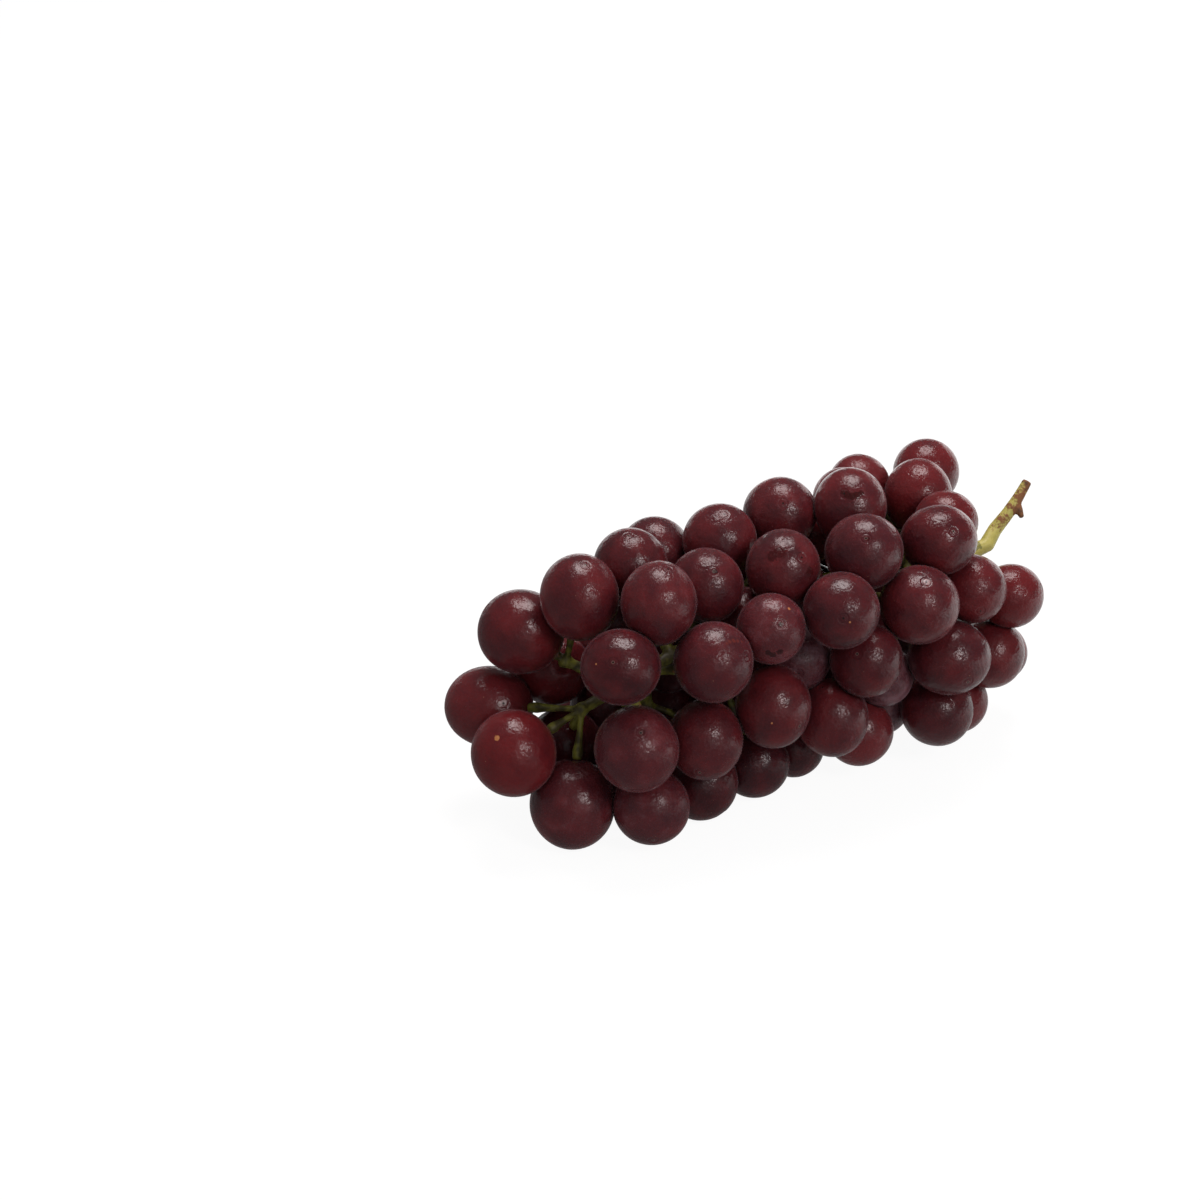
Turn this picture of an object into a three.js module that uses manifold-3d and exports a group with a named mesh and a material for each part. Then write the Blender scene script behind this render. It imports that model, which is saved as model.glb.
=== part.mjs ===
// A bunch of red table grapes, lying on its side as cut: every berry grown onto
// one branching green stem. Millimetres, +Z up, the cut stem end towards +X.
import * as THREE from "three";
import { mergeVertices } from "three/addons/utils/BufferGeometryUtils.js";
import Module from "manifold-3d";

const wasm = await Module();
wasm.setup();

// The view that the berries' outlines were read in, on a picture 1200 px square.
const PICTURE_MIDDLE = 600;
const LENS = 68;
const SENSOR = 36;
const VIEW_AZIMUTH = THREE.MathUtils.degToRad(-29);
const VIEW_ELEVATION = THREE.MathUtils.degToRad(30);
const VIEW_DISTANCE = 620;
const ORIGIN_PIXEL = { u: 752, v: 745 };

// Sizes of the bunch: where the outer berries' centres lie.
const TIP_X = -70;
const SHOULDER_X = 62;
const TIP_HALF = { wide: 28, high: 27 };
const SHOULDER_HALF = { wide: 37, high: 31 };
const UNDERSIDE = 10;
const SECTION_POWER = 2.6;
const END_POWER = 4;

// Sizes of a berry and how berries press on each other and on the table.
const HIDDEN_RADIUS = 9.6;
const HIDDEN_RADIUS_SPREAD = 0.7;
const HIDDEN_RADIUS_TURN = 2.1;
const GIRTH_SHARE = 0.975;
const LENGTH_SHARE = 1.05;
const SINK = 0.5;
const PRESS = 0.955;
const LAYER_DEPTH = 14;
const CLOSEST_START = 0.74;
const SETTLING_HEIGHT = 19;
// How much nearer to the camera than the berries in view a hidden one may lie.
const NEARER_ALLOWED = 4;
// How strongly a loose berry is drawn to its nearest, second and third neighbour.
const NEIGHBOUR_PULL = [0.3, 0.2, 0.1];
const NEIGHBOUR_PRESS = 0.025;

// How the berries settle: the number of sweeps, and the share of a gap or the
// distance in millimetres that one sweep moves a berry by.
const SEEN_SETTLING = { sweeps: 260, gap: 0.25, start: 0.015, tie: 1e-6, held: 2 };
const HIDDEN_SETTLING = { sweeps: 160, gap: 0.3, down: 0.2, inward: 0.12, axis: 0.5 };
const RAY_MARCH = { reach: 120, step: 0.5 };
// How a ball's outline is tested against the outlines in view.
const OUTLINE_POINTS = 12;
const OUTLINE_SHARE = 0.98;
const OPEN_MARGIN = 4;

// Sizes of the stem.
const GAP = 0.35;
const CUT_RADIUS = 1.35;
const MAIN_RADII = [1.5, 1.8, 2, 2.2, 2.4, 2.5, CUT_RADIUS];
const LATERAL_RADIUS = 1.35;
const LATERAL_ROOT_RADIUS = 1.7;
const PEDICEL_RADIUS = 0.95;
const CAP_RADIUS = 1.45;
const CAP_LENGTH = 2.2;
const KNOB_RADIUS = 1.9;
const STUB_RADII = [1.1, 0.88];
const HUB_COUNT = 15;
const HUB_START = 0.6;
const HUB_REACH = 11;
const HUB_SETBACK = 3;
const HUB_CROWDING = 0.8;
const SPUR_SHARE = 0.1;
const AXIS_CLEARANCE = 5;
// How hubs, and bends of limbs, are moved out of the berries.
const HUB_CLEARING = { sweeps: 40, gap: 0.3 };
const BEND_CLEARING = { sweeps: 60, gap: 0.5, straighten: 0.2 };
const BENDS = 2;
const AXIS_LEAN = { outside: 2, gap: 0.4 };
// The block below the table that is cut off the berries.
const BELOW = { across: 400, deep: 40 };
const GOLDEN_ANGLE = Math.PI * (3 - Math.sqrt(5));

// Facets of the solids.
const SEEN_SIDES = 8;
const HIDDEN_SIDES = 7;
const BERRY_RINGS = 4;
const PEDICEL_SIDES = 4;
const LIMB_SIDES = 6;
const RACHIS_SIDES = 8;
const MAIN_STEPS = 18;

// Each berry in view: u, v of its middle, width, height in pixels, and how many
// layers down in the bunch it lies.
const SEEN = {
  A1: [489, 706, 89, 80, 0.2], A2: [514, 752.5, 86, 88, 0], A3: [572.5, 804, 86, 92, 0],
  A4: [651.5, 806, 78, 77, 0], A5: [636.5, 749, 85, 87, 0], A6: [521, 632, 87, 86, 0.2],
  A7: [552, 668, 76, 76, 2], A8: [565, 745, 76, 76, 1], A9: [621, 667, 82, 77, 0],
  A10: [600, 706, 60, 60, 3], A11: [668, 666, 56, 56, 3], A12: [616, 784, 56, 56, 2.2],
  B1: [579.5, 597, 79.5, 88, 0], B2: [658.5, 603, 77, 85, 0], B3: [630.5, 566, 75, 76, 0.4],
  B4: [655, 551, 72, 70, 0.8], B5: [620, 614, 52, 52, 2.4],
  C1: [720, 541, 75, 75, 0.4], C2: [706, 586, 76, 77, 0.2],
  C3: [713.5, 662, 81, 82, 0], C4: [705, 739.5, 77, 82, 0.2], C5: [700.5, 782, 75, 76, 0.3],
  D1: [780, 513, 74.5, 73, 0.4], D2: [783, 568, 76, 79, 0], D3: [771, 629, 70, 72, 0],
  D4: [773, 706, 76, 84, 0], D5: [754, 763, 70, 70, 0.3], D6: [797, 658, 68, 68, 1],
  D7: [813, 534, 56, 56, 1.5],
  E1: [850, 507, 73, 79, 0.2], E2: [864, 552, 80, 77, 0.1], E3: [841, 611, 77, 78.5, 0],
  E4: [866, 660, 74, 75, 0.2], E5: [883, 675, 62, 62, 1], E6: [832, 717.5, 73, 80, 0],
  E7: [859, 731, 69, 69, 0.4], E8: [794, 747, 60, 60, 1], E9: [844, 499, 62, 64, 1],
  E10: [880, 705, 60, 60, 1], E11: [893, 630, 56, 56, 2.4], E12: [832, 672, 52, 52, 2],
  F1: [926, 472, 67, 67, 0.6], F2: [918, 496, 68, 76, 0.2],
  F3: [939, 540, 77, 71, 0], F4: [919, 605, 80, 79.5, 0], F5: [972, 589, 70, 69, 0.3],
  F6: [1010.5, 596, 65, 64, 0.6], F7: [946, 522, 64, 64, 0.8], F8: [858.5, 484.5, 62, 62, 0.6],
  F9: [888, 518, 56, 56, 2.4], F10: [962, 625, 50, 50, 2.4],
  G1: [949, 657, 83, 76, 0], G2: [937, 710, 73, 72, 0.1], G3: [955.5, 701, 64, 64, 0.9],
  G4: [990, 653, 68, 70, 0.7], G5: [997, 652, 60, 60, 1.2], G6: [910, 671, 54, 54, 2.4],
};
const STANDING = ["A3", "C5", "E8"];
const RIM = [
  "A1", "A6", "B1", "B3", "B4", "C1", "D1", "E1", "F2", "F7", "F6", "G5", "G3", "G2", "E7", "E8",
  "D5", "C5", "A4", "A3", "A2",
];
const OPEN_SPOT = { u: 549, v: 707 };
// Shells that the berries out of view start from: size and number of places.
const SHELLS = [[1, 260], [0.72, 130], [0.45, 70]];

// The stem in the same picture: pixel and depth along the view.
const TIP_HUB = [582, 709, 576];
const SPUR_HUB = [566, 661, 580];
const NECK = [982, 549, 618];
const PEDUNCLE = [[993, 532, 620], [1005, 517, 620], [1016, 501, 620], [1027.5, 481, 620]];
const STUB_END = [1022, 518, 619];
// The berries that the two hubs in view carry.
const TIP_FRUIT = ["A1", "A2", "A3"];
const SPUR_FRUIT = ["A6", "A7", "B1"];

const right = new THREE.Vector3(Math.cos(VIEW_AZIMUTH), Math.sin(VIEW_AZIMUTH), 0);
const back = new THREE.Vector3(
  Math.sin(VIEW_AZIMUTH) * Math.cos(VIEW_ELEVATION),
  -Math.cos(VIEW_AZIMUTH) * Math.cos(VIEW_ELEVATION),
  Math.sin(VIEW_ELEVATION),
);
const up = new THREE.Vector3().crossVectors(back, right);
const focal = (LENS / SENSOR) * 2 * PICTURE_MIDDLE;
const eye = back.clone().multiplyScalar(VIEW_DISTANCE)
  .addScaledVector(right, (PICTURE_MIDDLE - ORIGIN_PIXEL.u) * VIEW_DISTANCE / focal)
  .addScaledVector(up, (ORIGIN_PIXEL.v - PICTURE_MIDDLE) * VIEW_DISTANCE / focal);

// The direction of a pixel's ray, one unit deep.
function ray(u, v) {
  return back.clone().negate()
    .addScaledVector(right, (u - PICTURE_MIDDLE) / focal)
    .addScaledVector(up, (PICTURE_MIDDLE - v) / focal);
}

function along(direction, depth) {
  return eye.clone().addScaledVector(direction, depth);
}

function pixelPoint([u, v, depth]) {
  return along(ray(u, v), depth);
}

function picture(point) {
  const offset = point.clone().sub(eye);
  const depth = -offset.dot(back);
  return {
    u: PICTURE_MIDDLE + (focal * offset.dot(right)) / depth,
    v: PICTURE_MIDDLE - (focal * offset.dot(up)) / depth,
    depth,
  };
}

// Half width, half height and centre height of the bunch at station x.
function section(x) {
  const share = (x - TIP_X) / (SHOULDER_X - TIP_X);
  const wide = THREE.MathUtils.lerp(TIP_HALF.wide, SHOULDER_HALF.wide, share);
  const high = THREE.MathUtils.lerp(TIP_HALF.high, SHOULDER_HALF.high, share);
  return { wide, high, middle: high + UNDERSIDE };
}

const MID_X = (TIP_X + SHOULDER_X) / 2;
const HALF_X = (SHOULDER_X - TIP_X) / 2;

// Below 1 inside the bunch's outer form, above 1 outside it.
function form(point) {
  const { wide, high, middle } = section(point.x);
  return Math.abs((point.x - MID_X) / HALF_X) ** END_POWER
    + Math.abs(point.y / wide) ** SECTION_POWER
    + Math.abs((point.z - middle) / high) ** SECTION_POWER;
}

// Depth at which a ray meets the outer form, or passes it closest.
function surfaceDepth(direction) {
  let best = Infinity;
  let at = VIEW_DISTANCE;
  const end = VIEW_DISTANCE + RAY_MARCH.reach;
  for (let depth = VIEW_DISTANCE - RAY_MARCH.reach; depth < end; depth += RAY_MARCH.step) {
    const value = form(along(direction, depth));
    if (value < best) {
      best = value;
      at = depth;
    }
    if (value < 1) {
      return depth;
    }
  }
  return at;
}

// The berries in view: each slides along its own ray until it only presses on
// its neighbours, and stops at the table.
function seenBerries() {
  const berries = Object.entries(SEEN).map(([name, [u, v, width, height, layer]]) => {
    const direction = ray(u, v);
    const slope = (width + height) / 4 / focal;
    const floor = (eye.z + SINK) / (slope - direction.z);
    const held = STANDING.includes(name);
    const start = held ? floor : Math.min(surfaceDepth(direction) + LAYER_DEPTH * layer, floor);
    return { name, direction, slope, floor, held, start, depth: start };
  });
  for (let sweep = 0; sweep < SEEN_SETTLING.sweeps; sweep += 1) {
    const centres = berries.map((berry) => along(berry.direction, berry.depth));
    const depths = berries.map((berry, i) => {
      if (berry.held) {
        return berry.depth;
      }
      let shift = 0;
      berries.forEach((other, j) => {
        if (i === j) {
          return;
        }
        const offset = centres[i].clone().sub(centres[j]);
        const deeper = -offset.dot(back);
        const aside = offset.lengthSq() - deeper * deeper;
        const reach = (berry.slope * berry.depth + other.slope * other.depth) * PRESS;
        const gap = Math.sqrt(Math.max(0, reach * reach - aside)) - Math.abs(deeper);
        if (gap > 0) {
          const order = berry.depth - other.depth
            + SEEN_SETTLING.tie * (berry.start - other.start);
          shift += gap * (order > 0 ? 1 : -1) * (other.held ? SEEN_SETTLING.held : 1);
        }
      });
      const moved = berry.depth + SEEN_SETTLING.gap * shift
        + SEEN_SETTLING.start * (berry.start - berry.depth);
      return Math.min(berry.floor, moved);
    });
    berries.forEach((berry, i) => {
      berry.depth = depths[i];
    });
  }
  return berries.map((berry) => ({
    name: berry.name,
    centre: along(berry.direction, berry.depth),
    radius: berry.slope * berry.depth,
    seen: true,
  }));
}

// The main stem inside the bunch, from the hub at the tip to the neck.
const axisPoints = [
  pixelPoint(TIP_HUB),
  new THREE.Vector3(-20, 0, 38),
  new THREE.Vector3(20, 2, 44),
  new THREE.Vector3(50, -2, 47),
  pixelPoint(NECK),
];

function nearestOnAxis(point) {
  let best = null;
  for (let i = 0; i + 1 < axisPoints.length; i += 1) {
    const span = axisPoints[i + 1].clone().sub(axisPoints[i]);
    const share = point.clone().sub(axisPoints[i]).dot(span) / span.lengthSq();
    const near = axisPoints[i].clone().addScaledVector(span, Math.min(1, Math.max(0, share)));
    const distance = near.distanceTo(point);
    if (best === null || distance < best.distance) {
      best = { near, distance };
    }
  }
  return best;
}

function insideRim(u, v) {
  let inside = false;
  RIM.forEach((name, i) => {
    const [u0, v0] = SEEN[name];
    const [u1, v1] = SEEN[RIM[(i + 1) % RIM.length]];
    if ((v0 > v) !== (v1 > v) && u < u0 + ((v - v0) / (v1 - v0)) * (u1 - u0)) {
      inside = !inside;
    }
  });
  return inside;
}

// True where a ball stays out of sight: behind the berries in view, or inside
// their rim in a gap between them.
function covered(centre, radius, seen) {
  const { u, v, depth } = picture(centre);
  const reach = (radius / depth) * focal;
  for (let k = 0; k < OUTLINE_POINTS; k += 1) {
    const angle = (k * 2 * Math.PI) / OUTLINE_POINTS;
    const edgeU = u + reach * Math.cos(angle) * OUTLINE_SHARE;
    const edgeV = v + reach * Math.sin(angle) * OUTLINE_SHARE;
    const over = seen.filter(({ name }) => {
      const [seenU, seenV, width, height] = SEEN[name];
      return (2 * (edgeU - seenU) / width) ** 2 + (2 * (edgeV - seenV) / height) ** 2 < 1;
    });
    const front = over.every((berry) => (
      picture(berry.centre).depth < depth + NEARER_ALLOWED
    ));
    if (over.length > 0 ? !front : !insideRim(edgeU, edgeV)) {
      return false;
    }
  }
  return Math.hypot(OPEN_SPOT.u - u, OPEN_SPOT.v - v) > reach + OPEN_MARGIN;
}

function shellPoint(size, share, angle) {
  const x = MID_X + (share - 0.5) * 2 * HALF_X * size;
  const { wide, high, middle } = section(x);
  const room = Math.max(0, 1 - Math.abs(2 * share - 1) ** END_POWER) ** (1 / SECTION_POWER) * size;
  const c = Math.cos(angle);
  const s = Math.sin(angle);
  const reach = (Math.abs(c) ** SECTION_POWER + Math.abs(s) ** SECTION_POWER) ** (-1 / SECTION_POWER);
  return new THREE.Vector3(x, wide * room * reach * c, middle + high * room * reach * s);
}

// The berries out of view: round the back, underneath and inside.
function hiddenBerries(seen) {
  const placed = [...seen];
  SHELLS.forEach(([size, count]) => {
    for (let i = 0; i < count; i += 1) {
      const centre = shellPoint(size, (i + 0.5) / count, i * GOLDEN_ANGLE);
      const radius = HIDDEN_RADIUS + HIDDEN_RADIUS_SPREAD * Math.sin(i * HIDDEN_RADIUS_TURN);
      centre.z = Math.max(centre.z, radius - SINK);
      const clear = nearestOnAxis(centre).distance > radius + AXIS_CLEARANCE
        && placed.every((other) => (
          other.centre.distanceTo(centre) > CLOSEST_START * (other.radius + radius)
        ));
      if (clear && covered(centre, radius, seen)) {
        placed.push({ name: `H${placed.length}`, centre, radius, seen: false });
      }
    }
  });
  for (let sweep = 0; sweep < HIDDEN_SETTLING.sweeps; sweep += 1) {
    const pushes = placed.map((berry, i) => {
      const push = new THREE.Vector3();
      if (berry.seen) {
        return push;
      }
      const contacts = placed.filter((other, j) => i !== j).map((other) => {
        const offset = berry.centre.clone().sub(other.centre);
        const distance = offset.length();
        const reach = (berry.radius + other.radius) * PRESS;
        return { offset, distance, reach, gap: reach - distance };
      });
      contacts.sort((a, b) => b.gap - a.gap);
      contacts.forEach(({ offset, distance, reach, gap }, rank) => {
        const pull = (NEIGHBOUR_PULL[rank] ?? 0) * (gap - NEIGHBOUR_PRESS * reach);
        push.addScaledVector(offset, (gap > 0 ? HIDDEN_SETTLING.gap * gap : pull) / distance);
      });
      const { near, distance } = nearestOnAxis(berry.centre);
      const inward = near.sub(berry.centre).divideScalar(distance);
      const room = distance - berry.radius - AXIS_CLEARANCE;
      if (berry.centre.z < SETTLING_HEIGHT) {
        push.z -= HIDDEN_SETTLING.down;
      } else if (room > 0) {
        push.addScaledVector(inward, HIDDEN_SETTLING.inward);
      }
      return room < 0 ? push.addScaledVector(inward, HIDDEN_SETTLING.axis * room) : push;
    });
    placed.forEach((berry, i) => {
      if (!berry.seen) {
        berry.centre.add(pushes[i]);
        berry.centre.z = Math.max(berry.centre.z, berry.radius - SINK);
      }
    });
  }
  return placed.filter((berry) => berry.seen || covered(berry.centre, berry.radius, seen));
}

const berries = hiddenBerries(seenBerries());

// Moves a point of a limb out of the berries that it would run through.
function pushClear(point, radius, strength) {
  berries.forEach((berry) => {
    const offset = point.clone().sub(berry.centre);
    const distance = offset.length();
    const gap = berry.radius * LENGTH_SHARE + radius + GAP - distance;
    if (gap > 0) {
      point.addScaledVector(offset, (strength * gap) / distance);
    }
  });
}

// The hubs where pedicels branch off: two in view, then the others, set round the
// main stem by the golden angle.
function makeHubs() {
  const path = new THREE.CatmullRomCurve3(axisPoints);
  const hubs = [
    { point: axisPoints[0].clone(), root: null, fruit: [] },
    { point: pixelPoint(SPUR_HUB), root: path.getPointAt(SPUR_SHARE), fruit: [] },
  ];
  for (let i = 1; i < HUB_COUNT; i += 1) {
    const share = (i + HUB_START) / HUB_COUNT;
    const root = path.getPointAt(share);
    const tangent = path.getTangentAt(share);
    const side = new THREE.Vector3(0, 1, 0).applyAxisAngle(tangent, i * GOLDEN_ANGLE);
    const point = root.clone()
      .addScaledVector(side, HUB_REACH)
      .addScaledVector(tangent, -HUB_SETBACK);
    for (let k = 0; k < HUB_CLEARING.sweeps; k += 1) {
      pushClear(point, KNOB_RADIUS, HUB_CLEARING.gap);
    }
    hubs.push({ point, root, fruit: [] });
  }
  berries.forEach((berry) => {
    const costs = hubs.map((hub) => (
      hub.point.distanceTo(berry.centre) + HUB_CROWDING * hub.fruit.length
    ));
    berry.hub = hubs[costs.indexOf(Math.min(...costs))];
    if (TIP_FRUIT.includes(berry.name)) {
      [berry.hub] = hubs;
    }
    if (SPUR_FRUIT.includes(berry.name)) {
      [, berry.hub] = hubs;
    }
    berry.hub.fruit.push(berry);
  });
  return hubs;
}

const hubs = makeHubs();

// A limb's route between two points, bent clear of the berries.
function route(start, end, radius) {
  const points = [];
  for (let k = 0; k <= BENDS + 1; k += 1) {
    points.push(start.clone().lerp(end, k / (BENDS + 1)));
  }
  for (let sweep = 0; sweep < BEND_CLEARING.sweeps; sweep += 1) {
    for (let k = 1; k <= BENDS; k += 1) {
      const middle = points[k - 1].clone().add(points[k + 1]).multiplyScalar(0.5);
      points[k].lerp(middle, BEND_CLEARING.straighten);
      pushClear(points[k], radius, BEND_CLEARING.gap);
    }
  }
  return points;
}

// Each berry's long axis points along its pedicel, leaning away from its neighbours.
berries.forEach((berry) => {
  const straight = berry.hub.point.clone().sub(berry.centre).normalize();
  const outside = berry.centre.clone()
    .addScaledVector(straight, berry.radius * LENGTH_SHARE + AXIS_LEAN.outside);
  pushClear(outside, PEDICEL_RADIUS, AXIS_LEAN.gap);
  berry.axis = outside.sub(berry.centre).normalize();
  berry.pole = berry.centre.clone().addScaledVector(berry.axis, berry.radius * LENGTH_SHARE);
});

function solid(geometry) {
  geometry.deleteAttribute("normal");
  geometry.deleteAttribute("uv");
  const merged = mergeVertices(geometry, 1e-4);
  return new wasm.Manifold(new wasm.Mesh({
    numProp: 3,
    vertProperties: new Float32Array(merged.attributes.position.array),
    triVerts: new Uint32Array(merged.index.array),
  }));
}

// Joins solids two by two.
function fuse(solids) {
  let list = solids;
  while (list.length > 1) {
    const next = [];
    for (let i = 0; i < list.length; i += 2) {
      next.push(i + 1 < list.length ? list[i].add(list[i + 1]) : list[i]);
    }
    list = next;
  }
  return list[0];
}

// Keeps the largest body and drops loose scraps.
function mainBody(body) {
  const pieces = body.decompose();
  pieces.sort((a, b) => b.volume() - a.volume());
  return pieces[0];
}

function geometryOf(body) {
  const { vertProperties, triVerts } = body.getMesh();
  const geometry = new THREE.BufferGeometry();
  geometry.setAttribute("position", new THREE.BufferAttribute(vertProperties, 3));
  geometry.setIndex(new THREE.BufferAttribute(triVerts, 1));
  return geometry;
}

// One berry: an oval turned round its long axis, rolled so that one row of its
// corners faces the table.
function berrySolid(berry) {
  const sides = berry.seen ? SEEN_SIDES : HIDDEN_SIDES;
  // Corners stand as far outside the true surface as the middles of faces lie inside it.
  const round = 2 / (1 + Math.cos(Math.PI / sides));
  const arch = 2 / (1 + Math.cos(Math.PI / (BERRY_RINGS + 1) / 2));
  const girth = berry.radius * GIRTH_SHARE * round * arch;
  const length = berry.radius * LENGTH_SHARE * arch;
  const profile = [new THREE.Vector2(0, -length)];
  for (let k = 1; k <= BERRY_RINGS; k += 1) {
    const angle = (k * Math.PI) / (BERRY_RINGS + 1);
    profile.push(new THREE.Vector2(girth * Math.sin(angle), -length * Math.cos(angle)));
  }
  profile.push(new THREE.Vector2(0, length));
  const geometry = new THREE.LatheGeometry(profile, sides);
  const z = new THREE.Vector3(0, 0, -1).addScaledVector(berry.axis, berry.axis.z);
  if (z.length() < 1e-3) {
    z.set(1, 0, 0);
  }
  z.normalize();
  const x = new THREE.Vector3().crossVectors(berry.axis, z);
  const turn = new THREE.Matrix4().makeBasis(x, berry.axis, z).setPosition(berry.centre);
  return solid(geometry.applyMatrix4(turn));
}

// A round limb along points, its radius running from the first to the last value.
function limbSolid(points, radii, sides, steps, extra) {
  const path = new THREE.CatmullRomCurve3(points, false, "centripetal");
  const outline = new THREE.Shape();
  for (let k = 0; k < sides; k += 1) {
    const angle = (k * 2 * Math.PI) / sides;
    const corner = [Math.cos(angle), Math.sin(angle)];
    if (k === 0) {
      outline.moveTo(...corner);
    } else {
      outline.lineTo(...corner);
    }
  }
  outline.closePath();
  const geometry = new THREE.ExtrudeGeometry(outline, { steps, extrudePath: path });
  const rings = path.getSpacedPoints(steps);
  const position = geometry.attributes.position;
  const vertex = new THREE.Vector3();
  for (let i = 0; i < position.count; i += 1) {
    vertex.fromBufferAttribute(position, i);
    const distances = rings.map((ring) => ring.distanceToSquared(vertex));
    const ring = distances.indexOf(Math.min(...distances));
    const share = (ring / steps) * (radii.length - 1);
    const from = Math.min(radii.length - 2, Math.floor(share));
    const radius = THREE.MathUtils.lerp(radii[from], radii[from + 1], share - from) + extra;
    vertex.sub(rings[ring]).multiplyScalar(radius).add(rings[ring]);
    position.setXYZ(i, vertex.x, vertex.y, vertex.z);
  }
  return solid(geometry);
}

// Every limb of the stem as its points, radii and facets.
const limbs = [];
const peduncle = PEDUNCLE.map(pixelPoint);
limbs.push({
  points: [...axisPoints, ...peduncle],
  radii: MAIN_RADII,
  sides: RACHIS_SIDES,
  steps: MAIN_STEPS,
});
limbs.push({
  points: [peduncle[2], pixelPoint(STUB_END)],
  radii: STUB_RADII,
  sides: LIMB_SIDES,
  steps: 2,
});
hubs.forEach((hub) => {
  if (hub.root !== null && hub.fruit.length > 0) {
    limbs.push({
      points: route(hub.root, hub.point, LATERAL_RADIUS),
      radii: [LATERAL_ROOT_RADIUS, LATERAL_RADIUS],
      sides: LIMB_SIDES,
      steps: BENDS + 1,
    });
  }
});
berries.forEach((berry) => {
  const end = berry.pole.clone().addScaledVector(berry.axis, GAP);
  const neck = berry.pole.clone().addScaledVector(berry.axis, GAP + CAP_LENGTH);
  const way = route(berry.hub.point, neck, PEDICEL_RADIUS);
  limbs.push({
    points: [...way, end],
    radii: [PEDICEL_RADIUS, PEDICEL_RADIUS, PEDICEL_RADIUS, CAP_RADIUS],
    sides: PEDICEL_SIDES,
    steps: BENDS + 1,
  });
});

// The swelling where pedicels branch off.
function knobSolid(hub, extra) {
  const geometry = new THREE.IcosahedronGeometry(KNOB_RADIUS + extra);
  return solid(geometry.translate(...hub.point.toArray()));
}

function stemBody(extra) {
  return mainBody(fuse([
    ...limbs.map(({ points, radii, sides, steps }) => (
      limbSolid(points, radii, sides, steps, extra)
    )),
    ...hubs.filter((hub) => hub.fruit.length > 0).map((hub) => knobSolid(hub, extra)),
  ]));
}

// What would reach below the table is cut away.
const below = new THREE.BoxGeometry(BELOW.across, BELOW.across, BELOW.deep)
  .translate(0, 0, -BELOW.deep / 2);
const stemSolid = stemBody(0);
const fruitSolid = mainBody(
  fuse(berries.map(berrySolid)).subtract(stemBody(GAP)).subtract(solid(below)),
);

// The origin is at the middle of the bunch's box, on the table.
const reach = new THREE.Box3();
berries.forEach((berry) => {
  reach.expandByPoint(berry.centre.clone().addScalar(berry.radius));
  reach.expandByPoint(berry.centre.clone().subScalar(berry.radius));
});
const cutEnd = peduncle[peduncle.length - 1].clone();
reach.expandByPoint(cutEnd.setX(cutEnd.x + CUT_RADIUS));
const middle = reach.getCenter(new THREE.Vector3());

const fruitSkin = new THREE.MeshStandardMaterial({ color: 0x5a2433, roughness: 0.35 });
const greenBark = new THREE.MeshStandardMaterial({ color: 0x8c8a3c, roughness: 0.7 });

const bunch = new THREE.Group();
for (const [name, body, material] of [
  ["berries", fruitSolid, fruitSkin],
  ["stem", stemSolid, greenBark],
]) {
  const mesh = new THREE.Mesh(geometryOf(body), material);
  mesh.name = name;
  mesh.position.set(-middle.x, -middle.y, 0);
  bunch.add(mesh);
}

export default bunch;
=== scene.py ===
"""The looks of a bunch of red table grapes that lies on its side.

The places of the berries and the branches of the stem come from the same rule and
the same named sizes as the construction: millimetres, +Z up, the cut stem end
towards +X. Each mesh is turned into metres when it is written.
"""

import logging
import math
from dataclasses import dataclass, field
from enum import Enum

import bpy
import numpy as np
from mathutils import Matrix, Vector
from mathutils.kdtree import KDTree

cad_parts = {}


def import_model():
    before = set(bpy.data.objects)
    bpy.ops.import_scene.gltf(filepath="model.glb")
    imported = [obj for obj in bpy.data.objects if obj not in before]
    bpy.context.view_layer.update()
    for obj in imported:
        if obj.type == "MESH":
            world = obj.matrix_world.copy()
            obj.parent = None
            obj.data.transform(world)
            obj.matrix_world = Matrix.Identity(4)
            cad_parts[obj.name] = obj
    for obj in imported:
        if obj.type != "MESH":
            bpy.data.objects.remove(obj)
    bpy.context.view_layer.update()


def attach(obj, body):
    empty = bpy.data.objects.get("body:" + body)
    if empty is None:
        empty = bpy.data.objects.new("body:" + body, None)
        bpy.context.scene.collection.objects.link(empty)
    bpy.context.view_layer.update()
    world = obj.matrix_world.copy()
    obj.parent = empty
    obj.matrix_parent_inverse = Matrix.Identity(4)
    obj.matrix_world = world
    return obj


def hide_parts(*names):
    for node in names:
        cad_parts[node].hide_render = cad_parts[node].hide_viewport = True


log = logging.getLogger("grapes")

METRES = 0.001
GOLDEN_ANGLE = math.pi * (3 - math.sqrt(5))
LAYOUT_SEED = 7

Array = np.ndarray


class Tone(Enum):
    """How a berry's skin looks as a whole: redness, bloom and darkness, 0 to 1; the darkness
    of the shaded berries is painted shade.
    """

    PLAIN = (0.45, 0.35, 0.35)
    RED = (0.95, 0.25, 0.0)
    WARM = (0.7, 0.3, 0.15)
    PLUM = (0.35, 0.55, 0.3)
    MAROON = (0.25, 0.3, 0.5)
    # Painted shade: a dark skin for the berries seen deep between others and for those low
    # against the table.
    DARK = (0.25, 0.3, 0.85)
    DUSTY = (0.1, 2.6, 0.0)


@dataclass(frozen=True)
class Outline:
    """A berry's outline in the picture, in pixels, with its layer and its tone."""

    u: float
    v: float
    width: float
    height: float
    layer: float
    tone: Tone = Tone.PLAIN


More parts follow.
